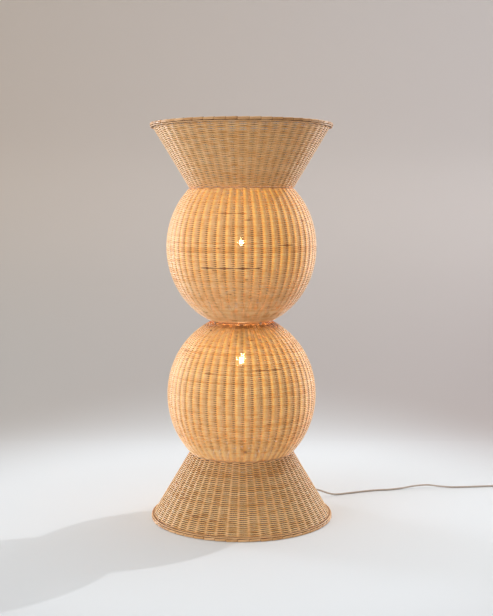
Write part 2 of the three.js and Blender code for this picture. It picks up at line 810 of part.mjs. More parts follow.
function lampholder(prefix, capGeometry) {
  const holder = new THREE.Group();
  addPart(`${prefix}_holder_cap`, capGeometry, bakelite(), holder);
  addPart(`${prefix}_holder_body`, holderBody(), bakelite(), holder);
  addPart(`${prefix}_contact_block`, contactBlock(), ceramic(), holder);
  addPart(`${prefix}_screw_shell`, screwShell(), brass(), holder);
  const bulb = new THREE.Group();
  bulb.position.z = bulbTip;
  addPart(`${prefix}_bulb_cap`, bulbCap(), zinc(), bulb);
  addPart(`${prefix}_bulb_glass`, bulbGlass(), glass(), bulb);
  addPart(`${prefix}_bulb_stem`, glassStem(), glass(), bulb);
  addPart(`${prefix}_bulb_filament`, filamentCage(), filament(), bulb);
  holder.add(bulb);
  return holder;
}

const lowerHolderZ = waistZ - LOWER_FILAMENT_DROP + filamentAboveHolder;
const upperHolderZ = waistZ + UPPER_FILAMENT_RISE - filamentAboveHolder;

const lowerHolder = lampholder('lower', sideEntryCap());
lowerHolder.rotation.x = HALF_TURN;
lowerHolder.position.z = lowerHolderZ;
lamp.add(lowerHolder);

const upperHolder = lampholder('upper', holderCap());
upperHolder.position.z = upperHolderZ;
lamp.add(upperHolder);

// The threaded stem that ties both holders to the hub, and its two nuts
const stemLowZ = lowerHolderZ - STEM_ENTRY;
const stemHighZ = upperHolderZ + STEM_ENTRY;
addPart('stem_tube', tube(stemRadius, STEM_BORE / 2, stemLowZ, stemHighZ, ROUND_FACETS), zinc());

function hexNut(lowZ) {
  const corner = NUT_ACROSS / 2 / Math.cos(HALF_TURN / NUT_SIDES);
  const nut = bar(corner, lowZ, lowZ + NUT_HEIGHT, NUT_SIDES);
  const boreRadius = stemRadius + FIT_GAP;
  const bore = bar(boreRadius, lowZ - CUT_OVERRUN, lowZ + NUT_HEIGHT + CUT_OVERRUN, ROUND_FACETS);
  return cut(nut, bore);
}

addPart('upper_hub_nut', hexNut(hubHighZ + FIT_GAP), zinc());
addPart('lower_hub_nut', hexNut(hubLowZ - FIT_GAP - NUT_HEIGHT), zinc());

// The lead inside: out of the lower holder's cap, across to the wall, down
// beside the first upright and out through the sleeve
const capEntryZ = lowerHolderZ - capEntryHeight;
const leadJoinStep = GLOBE_STEPS - 1;
const [leadJoinOut, leadJoinZ] = lowerGlobeFace.place(leadJoinStep / GLOBE_STEPS, leadDepth);
const LEAD_SPAN_SHARES = [
  [0.16, 0, 0.06],
  [0.45, 0.3, 0.6],
  [0.8, 0.9, 1.1],
];
const sleeveTipOut = exitOut + SLEEVE_NOSE;

function insideLead() {
  const startOut = holderInside - HOLDER_WALL;
  const span = LEAD_SPAN_SHARES.map(([out, aside, drop]) => framePoint(
    startOut + out * (leadJoinOut - startOut),
    aside * leadAside,
    capEntryZ + drop * (leadJoinZ - capEntryZ),
  ));
  const bendZ = EXIT_HEIGHT + EXIT_BEND;
  const wallPoints = [
    ...facePoints(lowerGlobeFace, leadDepth, 0, leadJoinStep).reverse(),
    ...creaseTurn(NECK_RADIUS, lowerNeckZ, lowerGlobeFace.angle(0), skirtFace.angle(), leadDepth),
    skirtFace.place(1, leadDepth),
    skirtFace.place(skirtFace.shareAt(bendZ, leadDepth), leadDepth),
  ];
  const exitInside = exitOut - SLEEVE_INSIDE - WEAVE_THICKNESS;
  const bendOut = wallPoints[wallPoints.length - 1][0];
  return bentWire([
    framePoint(startOut, 0, capEntryZ),
    ...span,
    ...wallPoints.map(([out, z]) => framePoint(out, leadAside, z)),
    framePoint((bendOut + exitInside) / 2, exitAside, EXIT_HEIGHT + EXIT_BEND_LOW),
    framePoint(exitInside, exitAside, EXIT_HEIGHT),
    framePoint(sleeveTipOut, exitAside, EXIT_HEIGHT),
  ], cordRadius, CORD_SIDES);
}

addPart('inside_lead', insideLead(), flex());

// The tapered sleeve that guards the lead where it passes the skirt
function exitSleeve() {
  const bore = cordRadius + FIT_GAP;
  const inner = -SLEEVE_INSIDE;
  const shoulder = WEAVE_THICKNESS;
  const sleeve = revolve([
    [bore, inner],
    [sleeveRadius, inner],
    [sleeveRadius, shoulder],
    [SLEEVE_TIP_DIAMETER / 2, SLEEVE_NOSE],
    [bore, SLEEVE_NOSE],
  ], ROUND_FACETS);
  sleeve.rotateY(QUARTER_TURN);
  return sleeve;
}

const sleeve = addPart('exit_sleeve', exitSleeve(), rubber());
sleeve.position.copy(framePoint(exitOut, exitAside, EXIT_HEIGHT));
sleeve.rotation.z = FRAME_AZIMUTH;

// Saddle clips that hold the lead to the upright, with their feet on the weave
const CLIP_PLACES_SHARES = [
  [lowerGlobeFace, 0.75],
  [lowerGlobeFace, 0.45],
  [lowerGlobeFace, 0.15],
  [skirtFace, 0.55],
];

function saddleClip() {
  const left = -uprightRadius - FIT_GAP;
  const right = leadAside + cordRadius + FIT_GAP;
  const reach = right + CLIP_THICKNESS;
  const foot = WEAVE_THICKNESS + FIT_GAP - uprightDepth;
  const roof = Math.max(uprightRadius, leadDepth - uprightDepth + cordRadius) + FIT_GAP;
  return slab([
    [left - CLIP_THICKNESS, foot],
    [left, foot],
    [left, roof],
    [right, roof],
    [right, foot],
    [reach, foot],
    [reach, roof + CLIP_THICKNESS - CLIP_CORNER],
    [reach - CLIP_CORNER, roof + CLIP_THICKNESS],
    [left - CLIP_THICKNESS + CLIP_CORNER, roof + CLIP_THICKNESS],
    [left - CLIP_THICKNESS, roof + CLIP_THICKNESS - CLIP_CORNER],
  ], -CLIP_WIDTH / 2, CLIP_WIDTH / 2);
}

CLIP_PLACES_SHARES.forEach(([face, share], index) => {
  const step = 1 / GLOBE_STEPS;
  const middle = Math.floor(share / step) * step + step / 2;
  const [lowOut, lowZ] = face.place(middle - step / 2, uprightDepth);
  const [highOut, highZ] = face.place(middle + step / 2, uprightDepth);
  const along = framePoint(highOut, 0, highZ).sub(framePoint(lowOut, 0, lowZ)).normalize();
  const inward = along.clone().cross(sideDirection);
  const clip = addPart(`lead_clip_${index + 1}`, saddleClip(), strap());
  const basis = new THREE.Matrix4().makeBasis(sideDirection, inward, along);
  clip.quaternion.setFromRotationMatrix(basis);
  clip.position.copy(framePoint((lowOut + highOut) / 2, 0, (lowZ + highZ) / 2));
});

// The free lead to the foot switch
addPart('lead_to_switch', laidLead(LEAD_ROUTE), flex());

// A tapered strain relief, drawn from its wide end at zero along +X
function strainRelief() {
  const relief = revolve([
    [0, 0],
    [RELIEF_DIAMETER / 2, 0],
    [RELIEF_TIP_DIAMETER / 2, RELIEF_LENGTH],
    [0, RELIEF_LENGTH],
  ], SMALL_FACETS);
  relief.rotateY(QUARTER_TURN);
  return relief;
}

// Foot switch, drawn along X with the lamp's side at -X
const coverLow = SWITCH_TRAY_HEIGHT + FIT_GAP;
const coverHigh = coverLow + SWITCH_COVER_HEIGHT;
const coverRoof = coverHigh - SWITCH_WALL;
const switchOutline = roundedRectangle(SWITCH_LENGTH, SWITCH_WIDTH, SWITCH_CORNER);
const switchHollow = roundedRectangle(
  SWITCH_LENGTH - 2 * SWITCH_WALL,
  SWITCH_WIDTH - 2 * SWITCH_WALL,
  SWITCH_CORNER - SWITCH_WALL,
);
const buttonRadius = BUTTON_DIAMETER / 2;
const flangeHigh = coverRoof - FIT_GAP;
const flangeLow = flangeHigh - BUTTON_FLANGE_THICKNESS;
const buttonHigh = coverHigh + BUTTON_RISE;
const screwRadius = SCREW_SHANK_DIAMETER / 2;
const screwHeadRadius = SCREW_HEAD_DIAMETER / 2;
const SCREW_SIDES = [-1, 1];

function screwHole(side, radius, lowZ, highZ) {
  const hole = bar(radius + FIT_GAP, lowZ, highZ, SMALL_FACETS);
  hole.translate((side * SWITCH_SCREW_SPACING) / 2, 0, 0);
  return hole;
}

function switchTray() {
  const outside = slab(switchOutline, 0, SWITCH_TRAY_HEIGHT);
  const inside = slab(switchHollow, SWITCH_WALL, SWITCH_TRAY_HEIGHT + CUT_OVERRUN);
  const holes = SCREW_SIDES.map((side) => screwHole(side, screwRadius, -CUT_OVERRUN, coverLow));
  const posts = SCREW_SIDES.map((side) => {
    const post = bar(SCREW_POST_DIAMETER / 2, 0, SWITCH_TRAY_HEIGHT, SMALL_FACETS);
    post.translate((side * SWITCH_SCREW_SPACING) / 2, 0, 0);
    return post;
  });
  const recesses = SCREW_SIDES.map(
    (side) => screwHole(side, screwHeadRadius - FIT_GAP, -CUT_OVERRUN, SCREW_HEAD_THICKNESS),
  );
  return cut(join(cut(outside, inside), ...posts), ...holes, ...recesses);
}

function switchCover() {
  const outside = slab(switchOutline, coverLow, coverHigh, SWITCH_EDGE);
  const lowerEdge = slab(switchOutline, coverLow, (coverLow + coverHigh) / 2);
  const inside = slab(switchHollow, coverLow - CUT_OVERRUN, coverRoof);
  const mouth = bar(buttonRadius + FIT_GAP, coverRoof - CUT_OVERRUN, coverHigh + CUT_OVERRUN,
    ROUND_FACETS);
  const posts = SCREW_SIDES.map((side) => {
    const post = bar(SCREW_POST_DIAMETER / 2, coverLow, coverRoof + SWITCH_WALL / 2, SMALL_FACETS);
    post.translate((side * SWITCH_SCREW_SPACING) / 2, 0, 0);
    return post;
  });
  const holes = SCREW_SIDES.map(
    (side) => screwHole(side, screwRadius, coverLow - CUT_OVERRUN, SCREW_LENGTH + FIT_GAP),
  );
  return cut(join(cut(join(outside, lowerEdge), inside, mouth), ...posts), ...holes);
}

function switchButton() {
  const flangeRadius = buttonRadius + BUTTON_FLANGE_WIDTH;
  return revolve([
    [0, flangeLow],
    [flangeRadius, flangeLow],
    [flangeRadius, flangeHigh],
    [buttonRadius, flangeHigh],
    [buttonRadius, buttonHigh - BUTTON_DOME],
    [buttonRadius - BUTTON_DOME, buttonHigh],
    [0, buttonHigh],
  ], ROUND_FACETS);
}

// The contact works under the button, on the tray's floor
function switchCore() {
  const top = flangeLow - BUTTON_TRAVEL - FIT_GAP;
  return slab(
    roundedRectangle(SWITCH_CORE_LENGTH, SWITCH_CORE_WIDTH, SWITCH_WALL),
    SWITCH_WALL + FIT_GAP,
    top,
  );
}

function switchScrew() {
  return revolve([
    [0, 0],
    [screwHeadRadius - FIT_GAP, 0],
    [screwHeadRadius - FIT_GAP, SCREW_HEAD_THICKNESS - FIT_GAP],
    [screwRadius, SCREW_HEAD_THICKNESS - FIT_GAP],
    [screwRadius, SCREW_LENGTH],
    [0, SCREW_LENGTH],
  ], SMALL_FACETS);
}

const [switchEndX, switchEndY, reliefAxisZ] = LEAD_ROUTE[LEAD_ROUTE.length - 1];
const switchReach = SWITCH_LENGTH / 2 + FIT_GAP + RELIEF_LENGTH + FIT_GAP;

const footSwitch = new THREE.Group();
footSwitch.position.set(switchEndX, switchEndY - switchReach, 0);
footSwitch.rotation.z = -QUARTER_TURN;
lamp.add(footSwitch);
addPart('switch_tray', switchTray(), moulding(), footSwitch);
addPart('switch_cover', switchCover(), moulding(), footSwitch);
addPart('switch_button', switchButton(), moulding(), footSwitch);
addPart('switch_core', switchCore(), ceramic(), footSwitch);
SCREW_SIDES.forEach((side, index) => {
  const screw = addPart(`switch_screw_${index + 1}`, switchScrew(), zinc(), footSwitch);
  screw.position.x = (side * SWITCH_SCREW_SPACING) / 2;
});
SCREW_SIDES.forEach((side, index) => {
  const relief = addPart(`switch_relief_${index + 1}`, strainRelief(), rubber(), footSwitch);
  relief.position.set(side * (SWITCH_LENGTH / 2 + FIT_GAP), 0, reliefAxisZ);
  relief.rotation.z = side < 0 ? HALF_TURN : 0;
});

// The spare lead: a round coil on the floor, held by a strap
const coilWidth = COIL_TURNS_WIDE * CORD_DIAMETER;
const coilHeight = COIL_TURNS_HIGH * CORD_DIAMETER;
const coilLow = TIE_THICKNESS + FIT_GAP;
const COIL_SECTION_SHARES = [
  [0.18, 0], [0.82, 0], [1, 0.27], [1, 0.73], [0.82, 1], [0.18, 1], [0, 0.73], [0, 0.27],
];

function coilRing() {
  const outline = COIL_SECTION_SHARES.map(([across, up]) => [
    COIL_MIDDLE_RADIUS - coilWidth / 2 + across * coilWidth,
    coilLow + up * coilHeight,
  ]);
  return revolve(outline, COIL_FACETS);
}

// The strap's loop stands across the coil's front and clears its curve
function coilTie() {
  const innerEdge = COIL_MIDDLE_RADIUS - coilWidth / 2;
  const curveRoom = innerEdge - Math.sqrt(innerEdge ** 2 - (TIE_WIDTH / 2) ** 2);
  const insideWidth = coilWidth + curveRoom + 2 * COIL_ROOM;
  const insideHeight = coilHeight + 2 * FIT_GAP;
  const loop = (width, height) => roundedRectangle(width, height, TIE_CORNER);
  const band = cut(
    slab(loop(insideWidth + 2 * TIE_THICKNESS, insideHeight + 2 * TIE_THICKNESS),
      -TIE_WIDTH / 2, TIE_WIDTH / 2),
    slab(loop(insideWidth, insideHeight), -TIE_WIDTH, TIE_WIDTH),
  );
  band.rotateX(QUARTER_TURN);
  band.rotateZ(QUARTER_TURN);
  const middle = COIL_MIDDLE_RADIUS - curveRoom / 2;
  band.translate(0, -middle, TIE_THICKNESS + insideHeight / 2);
  return band;
}

const coil = new THREE.Group();
coil.position.set(COIL_CENTRE[0], COIL_CENTRE[1], 0);
lamp.add(coil);
addPart('lead_coil', coilRing(), flex(), coil);
addPart('coil_tie', coilTie(), strap(), coil);

addPart('lead_to_coil', laidLead(COIL_LEAD_IN), flex());
addPart('lead_to_plug', laidLead(COIL_LEAD_OUT), flex());

// Two-pin plug, drawn along X from its rear with the pins forward
const pinRadius = PIN_DIAMETER / 2;
const PIN_SIDES = [-1, 1];
const PLUG_OUTLINE_SHARES = [
  [0.45, -1], [1, -1], [1, 1], [0.45, 1],
];

function plugBody() {
  const halfWidth = PLUG_WIDTH / 2;
  const halfRear = PLUG_REAR_WIDTH / 2;
  const front = PLUG_OUTLINE_SHARES.map(([along, across]) => [
    along * PLUG_LENGTH,
    across * halfWidth,
  ]);
  const outline = [[0, -halfRear], ...front, [0, halfRear]];
  const body = slab(outline, 0, PLUG_THICKNESS, PLUG_EDGE);
  const seats = PIN_SIDES.map((side) => {
    const seat = bar(pinRadius + FIT_GAP, PLUG_LENGTH - PIN_SEAT, PLUG_LENGTH + CUT_OVERRUN,
      SMALL_FACETS);
    seat.rotateY(QUARTER_TURN);
    seat.translate(0, (side * PIN_SPACING) / 2, PLUG_THICKNESS / 2);
    return seat;
  });
  return cut(body, ...seats);
}

function plugPin() {
  const pin = revolve([
    [0, FIT_GAP],
    [pinRadius, FIT_GAP],
    [pinRadius, PIN_SEAT + PIN_LENGTH - PIN_TIP],
    [pinRadius - PIN_TIP, PIN_SEAT + PIN_LENGTH],
    [0, PIN_SEAT + PIN_LENGTH],
  ], SMALL_FACETS);
  pin.rotateY(QUARTER_TURN);
  return pin;
}

const [plugEndX, plugEndY] = COIL_LEAD_OUT[COIL_LEAD_OUT.length - 1];
const plug = new THREE.Group();
plug.position.set(plugEndX, plugEndY + FIT_GAP + RELIEF_LENGTH + FIT_GAP, 0);
plug.rotation.z = QUARTER_TURN;
lamp.add(plug);
addPart('plug_body', plugBody(), moulding(), plug);
PIN_SIDES.forEach((side, index) => {
  const pin = addPart(`plug_pin_${index + 1}`, plugPin(), zinc(), plug);
  pin.position.set(PLUG_LENGTH - PIN_SEAT, (side * PIN_SPACING) / 2, PLUG_THICKNESS / 2);
});
const plugRelief = addPart('plug_relief', strainRelief(), rubber(), plug);
plugRelief.position.set(-FIT_GAP, 0, PLUG_THICKNESS / 2);
plugRelief.rotation.z = HALF_TURN;

export default lamp;
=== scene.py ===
import math

import bpy
import numpy as np
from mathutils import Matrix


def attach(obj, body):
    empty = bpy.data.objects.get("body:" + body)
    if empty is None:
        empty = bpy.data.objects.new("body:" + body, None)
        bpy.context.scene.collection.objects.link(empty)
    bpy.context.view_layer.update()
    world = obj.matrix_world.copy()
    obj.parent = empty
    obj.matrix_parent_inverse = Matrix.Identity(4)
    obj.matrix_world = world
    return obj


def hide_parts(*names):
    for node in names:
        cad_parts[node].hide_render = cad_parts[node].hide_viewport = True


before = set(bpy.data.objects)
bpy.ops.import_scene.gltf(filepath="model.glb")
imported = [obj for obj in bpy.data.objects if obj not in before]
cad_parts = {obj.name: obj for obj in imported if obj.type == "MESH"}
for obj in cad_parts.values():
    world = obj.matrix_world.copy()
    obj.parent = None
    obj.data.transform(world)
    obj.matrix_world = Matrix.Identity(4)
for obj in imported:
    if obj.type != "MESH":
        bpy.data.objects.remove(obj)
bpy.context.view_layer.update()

# Camera: it stands 3.1 m in front of the lamp, level with its upper globe, and
# looks a little down. Its picture is 36 mm on the long side and its lens is a
# 62 mm one.
LOOKS_DOWN = 5.40
camera = bpy.data.objects.new("camera", bpy.data.cameras.new("camera"))
bpy.context.scene.collection.objects.link(camera)
camera.location = (0.0145, -3.0942, 0.9099)
camera.rotation_euler = (math.radians(90 - LOOKS_DOWN), 0, 0)
camera.data.sensor_fit = "AUTO"
camera.data.sensor_width = 36
camera.data.lens = 62.114
bpy.context.scene.camera = camera

# Steel frame: four uprights of 6 mm wire bent to the lamp's profile, five
# rings and a spider at the waist of 5 mm wire. It is welded together, and
# lacquered in a sand colour so that it doesn't show through the cane.
BASE_RADIUS = 0.267
NECK_RADIUS = 0.1523
GLOBE_RADIUS = 0.2193
WAIST_RADIUS = 0.0922
RIM_RADIUS = 0.263
LOWER_NECK = 0.194
WAIST = 0.580
UPPER_NECK = 0.966
TOP = 1.150
FRAME_TURN = math.radians(36)
UPRIGHT_WIRE = 0.003
UPRIGHT_DEPTH = 0.0103
HOOP_WIRE = 0.0025
HOOP_DEPTH = 0.0161
FOOT_HOOP_RADIUS = 0.2388
FOOT_HOOP_HEIGHT = 0.020
TOP_HOOP_HEIGHT = 1.128
FULL_TURN = 2 * math.pi
UP = np.array([0.0, 0, 1])


def cone_face(low_radius, low, high_radius, high):
    """A cone's wall: the radius and height run evenly from its lower to its
    upper edge, and a depth goes in square to the slope. Gives radius, height
    and the outward slope for shares of the way up."""
    spread, rise = high_radius - low_radius, high - low
    slope = math.atan2(-spread, rise)

    def place(share, depth):
        share = np.asarray(share, float)
        radius = low_radius + share * spread - depth * math.cos(slope)
        height = low + share * rise - depth * math.sin(slope)
        return radius, height, np.full_like(share, slope)

    return place


def globe_face(low_radius, low, high_radius, high):
    """A globe's wall, part of an ellipsoid: the radius is the globe's times the
    cosine of a turn, the height is half its height times the sine, and the
    turn runs evenly from the lower to the upper edge."""
    low_sine = math.sqrt(1 - (low_radius / GLOBE_RADIUS) ** 2)
    high_sine = math.sqrt(1 - (high_radius / GLOBE_RADIUS) ** 2)
    half = (high - low) / (low_sine + high_sine)
    middle = low + half * low_sine
    start, stop = -math.asin(low_sine), math.asin(high_sine)

    def place(share, depth):
        turn = start + np.asarray(share, float) * (stop - start)
        slope = np.arctan2(np.sin(turn) / half, np.cos(turn) / GLOBE_RADIUS)
        radius = GLOBE_RADIUS * np.cos(turn) - depth * np.cos(slope)
        height = middle + half * np.sin(turn) - depth * np.sin(slope)
        return radius, height, slope

    return place


skirt_face = cone_face(BASE_RADIUS, 0, NECK_RADIUS, LOWER_NECK)
lower_globe_face = globe_face(NECK_RADIUS, LOWER_NECK, WAIST_RADIUS, WAIST)
upper_globe_face = globe_face(WAIST_RADIUS, WAIST, NECK_RADIUS, UPPER_NECK)
funnel_face = cone_face(NECK_RADIUS, UPPER_NECK, RIM_RADIUS, TOP)


def unit(vectors):
    """Each vector divided by its length."""
    return vectors / np.linalg.norm(vectors, axis=-1, keepdims=True)


def steps_round(count, shift=0.0):
    """Angles of equal steps once round, moved on by a share of a step."""
    return FULL_TURN * (np.arange(count) + shift) / count


def smooth_path(points, spacing, span_steps=24):
    """Evenly spaced points on a curve through the given ones: between two of
    them each coordinate is a cubic, whose slope at each is half the step
    between its neighbours."""
    points = np.asarray(points, float)
    padded = np.vstack([2 * points[0] - points[1], points, 2 * points[-1] - points[-2]])
    before, start, end, after = (padded[i:len(padded) - 3 + i, None] for i in range(4))
    share = np.linspace(0, 1, span_steps, endpoint=False)[None, :, None]
    cubic = (2 * start + (end - before) * share
             + (2 * before - 5 * start + 4 * end - after) * share ** 2
             + (3 * start - before - 3 * end + after) * share ** 3) / 2
    fine = np.vstack([cubic.reshape(-1, 3), points[-1:]])
    steps = np.linalg.norm(np.diff(fine, axis=0), axis=1)
    length = np.concatenate([[0], np.cumsum(steps)])
    stops = np.linspace(0, length[-1], max(round(length[-1] / spacing), 2) + 1)
    return np.stack([np.interp(stops, length, fine[:, axis]) for axis in range(3)], axis=1)


def round_wire(path, radius, sides, aside):
    """Rings round a path: each is a circle square to the path, and starts at
    the given sideways direction."""
    ahead = unit(np.gradient(path, axis=0))
    aside = np.asarray(aside, float)
    across = unit(aside - (ahead @ aside)[:, None] * ahead)[:, None]
    over = np.cross(ahead[:, None], across)
    turn = steps_round(sides)[None, :, None]
    return path[:, None] + radius * (np.cos(turn) * across + np.sin(turn) * over)


def skin(name, body, rings, closed=False, start=0.0, sharp=60, **values):
    """A mesh from rings of points, given as strand, place along it, place round
    it and x, y, z. Faces join neighbours along and round. A closed strand joins
    its last ring to its first, and an open one has flat ends. The map's first
    number is the way along in metres and its second is the share round."""
    rings = np.asarray(rings, float)
    rings = rings[None] if rings.ndim == 3 else rings
    strands, along, around = rings.shape[:3]
    index = np.arange(strands * along * around).reshape(strands, along, around)
    last = along if closed else along - 1
    here, there = index[:, :last], np.roll(index, -1, axis=1)[:, :last]
    corners = np.stack([here, np.roll(here, -1, axis=2), np.roll(there, -1, axis=2), there], -1)
    middles = rings.mean(axis=2)
    steps = np.linalg.norm(np.roll(middles, -1, axis=1) - middles, axis=2)
    way = np.cumsum(np.concatenate([np.zeros((strands, 1)), steps], axis=1), axis=1)
    way = way + np.broadcast_to(start, strands)[:, None]
    low = np.broadcast_to(way[:, :last, None], here.shape)
    high = np.broadcast_to(way[:, 1:last + 1, None], here.shape)
    left = np.broadcast_to(np.arange(around) / around, here.shape)
    right = left + 1 / around
    lay = np.stack([low, left, low, right, high, right, high, left], -1).reshape(-1, 2)
    loops, sizes = corners.reshape(-1), np.full(corners.size // 4, 4)
    if not closed:
        ends = np.concatenate([index[:, 0, ::-1], index[:, -1]]).reshape(-1)
        loops = np.concatenate([loops, ends])
        sizes = np.concatenate([sizes, np.full(2 * strands, around)])
        lay = np.concatenate([lay, np.zeros((len(ends), 2))])
    mesh = bpy.data.meshes.new(name)
    mesh.vertices.add(index.size)
    mesh.vertices.foreach_set("co", rings.reshape(-1))
    mesh.loops.add(len(loops))
    mesh.loops.foreach_set("vertex_index", loops)
    mesh.polygons.add(len(sizes))
    mesh.polygons.foreach_set("loop_start", np.cumsum(sizes) - sizes)
    mesh.update(calc_edges=True)
    mesh.uv_layers.new(name="lay").data.foreach_set("uv", lay.reshape(-1))
    for key, value in values.items():
        value = np.broadcast_to(value, (strands, along))[..., None]
        value = np.broadcast_to(value, index.shape).reshape(-1)
        mesh.attributes.new(key, "FLOAT", "POINT").data.foreach_set("value", value)
    mesh.shade_smooth()
    mesh.set_sharp_from_angle(angle=math.radians(sharp))
    piece = bpy.data.objects.new(name, mesh)
    bpy.context.scene.collection.objects.link(piece)
    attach(piece, body)
    return piece


def feed(tree, made, values):
    """Each named input of a node takes a value or another node's socket."""
    for key, value in values.items():
        if isinstance(value, bpy.types.NodeSocket):
            tree.links.new(value, made.inputs[key])
        else:
            made.inputs[key].default_value = value
    return made


def node(tree, kind, values=None, **settings):
    """A shader node with its settings and its fed inputs."""
    made = tree.nodes.new(kind)
    for key, value in settings.items():
        setattr(made, key, value)
    return feed(tree, made, values or {})


def sums(tree, operation, *values, clamp=False):
    """The result of a sum on sockets and numbers."""
    feeds = dict(enumerate(values))
    return node(tree, "ShaderNodeMath", feeds, operation=operation, use_clamp=clamp).outputs[0]


def sway(tree, value, gain, base, clamp=False):
    """The base, plus a gain times how far a value lies above its middle, a half."""
    above = sums(tree, "SUBTRACT", value, 0.5)
    return sums(tree, "MULTIPLY_ADD", above, gain, base, clamp=clamp)


def blend_colour(tree, share, first, second):
    """A share of the second colour in the first."""
    feeds = {0: share, 6: first, 7: second}
    return node(tree, "ShaderNodeMix", feeds, data_type="RGBA").outputs[2]


def noise(tree, where, scale, detail=2.0):
    """A random value round a half, which changes softly over the place."""
    feeds = {"Vector": where, "Scale": scale, "Detail": detail}
    return node(tree, "ShaderNodeTexNoise", feeds).outputs[0]


def object_place(tree):
    """The place on the piece in metres."""
    return node(tree, "ShaderNodeTexCoord").outputs["Object"]


def emboss(tree, height, strength, distance):
    """The shader's surface rises and falls with a height."""
    feeds = {"Strength": strength, "Distance": distance, "Height": height}
    bump = node(tree, "ShaderNodeBump", feeds)
    tree.links.new(bump.outputs["Normal"], tree.nodes["Principled BSDF"].inputs["Normal"])


def effect(name, inputs, outputs):
    """An empty shader group with named inputs and outputs. Gives the group, the
    sockets its inputs arrive at, and the node that takes its outputs."""
    group = bpy.data.node_groups.new(name, "ShaderNodeTree")
    for label, value in inputs.items():
        kind = "NodeSocketColor" if isinstance(value, tuple) else "NodeSocketFloat"
        group.interface.new_socket(label, in_out="INPUT", socket_type=kind).default_value = value
    for label, kind in outputs.items():
        group.interface.new_socket(label, in_out="OUTPUT", socket_type="NodeSocket" + kind)
    return group, group.nodes.new("NodeGroupInput").outputs, group.nodes.new("NodeGroupOutput")


def blank(name):
    """A new material, its tree of nodes and its shader."""
    material = bpy.data.materials.new(name)
    material.use_nodes = True
    return material, material.node_tree, material.node_tree.nodes["Principled BSDF"]


# Wear that every finish shares: soft patches where hands and dust have been,
# and a fine grain
handling, wear_in, wear_out = effect(
    "handling",
    {"Fresh": (0.8, 0.8, 0.8, 1), "Worn": (0.5, 0.5, 0.5, 1), "Patch": 40.0, "Grain": 900.0,
     "Smooth": 0.3, "Rough": 0.6},
    {"Colour": "Color", "Roughness": "Float", "Height": "Float"})
where = object_place(handling)
grain = noise(handling, where, wear_in["Grain"])
worn = noise(handling, where, wear_in["Patch"], detail=4.0)
worn = sums(handling, "MULTIPLY_ADD", worn, 2.6, -0.9, clamp=True)
worn = sway(handling, grain, 0.35, worn, clamp=True)
spread = sums(handling, "SUBTRACT", wear_in["Rough"], wear_in["Smooth"])
feed(handling, wear_out, {
    "Colour": blend_colour(handling, worn, wear_in["Fresh"], wear_in["Worn"]),
    "Roughness": sums(handling, "MULTIPLY_ADD", spread, worn, wear_in["Smooth"]),
    "Height": grain})


def finish(name, fresh, worn, patch, grain, smooth, rough, bump=0.15, **plain):
    """A material with the shared wear: two colours, how many patches and grains
    there are to the metre, the range of roughness, the strength of the grain's
    relief, and plain values on the shader."""
    material, tree, shader = blank(name)
    wear = node(tree, "ShaderNodeGroup", {
        "Fresh": (*fresh, 1), "Worn": (*worn, 1), "Patch": patch, "Grain": grain,
        "Smooth": smooth, "Rough": rough}, node_tree=handling).outputs
    feed(tree, shader, {"Base Color": wear["Colour"], "Roughness": wear["Roughness"]})
    feed(tree, shader, {label.replace("_", " "): value for label, value in plain.items()})
    emboss(tree, wear["Height"], strength=bump, distance=0.0003)
    return material


def coat(piece, material, slot, *stands_for):
    """The piece takes this material. The slot it is given is not used. A new piece
    stands for one or more solids."""
    piece.data.materials.clear()
    piece.data.materials.append(material)
    if stands_for:
        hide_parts(*stands_for)


outward = np.array([math.cos(FRAME_TURN), math.sin(FRAME_TURN), 0])
sideward = np.array([-math.sin(FRAME_TURN), math.cos(FRAME_TURN), 0])


def in_frame(out, aside, height):
    """Points in the plane of the first upright: out from the axis, aside and up."""
    out, aside, height = (value[..., None] for value in np.broadcast_arrays(out, aside, height))
    return out * outward + aside * sideward + height * UP


def turned(points, angle):
    """The points turned about the lamp's axis."""
    c, s = math.cos(angle), math.sin(angle)
    return points @ np.array([[c, s, 0], [-s, c, 0], [0, 0, 1]])


def hoop(radius, height, wire, steps=96, sides=10):
    """A ring of wire: a circle of wire carried round the axis."""
    turn, side = steps_round(steps)[:, None], steps_round(sides)[None]
    out = radius + wire * np.cos(side)
    up = height - wire * np.sin(side) + 0 * turn
    return np.stack([out * np.cos(turn), out * np.sin(turn), up], axis=-1)


lacquer = finish("sand lacquer on steel", (0.50, 0.40, 0.27), (0.38, 0.29, 0.19),
                 patch=30, grain=700, smooth=0.35, rough=0.55, Specular_IOR_Level=0.5)
# An upright follows each wall between these shares of the way up, and the bends
# at the creases come between them
legs = [face(np.linspace(low, high, 14), UPRIGHT_DEPTH)[:2] for face, low, high in (
    (skirt_face, 0.085, 0.985), (lower_globe_face, 0.02, 0.98),
    (upper_globe_face, 0.02, 0.98), (funnel_face, 0.015, 0.91))]
leg_out, leg_up = np.concatenate(legs, axis=1)
upright_path = smooth_path(in_frame(leg_out, 0.0, leg_up), spacing=0.012)
upright_rings = round_wire(upright_path, UPRIGHT_WIRE, sides=10, aside=sideward)
for number in range(4):
    upright = skin(f"upright_wire_{number + 1}", "lamp", turned(upright_rings, number * math.pi / 2))
    coat(upright, lacquer, "frame_steel", f"upright_{number + 1}")

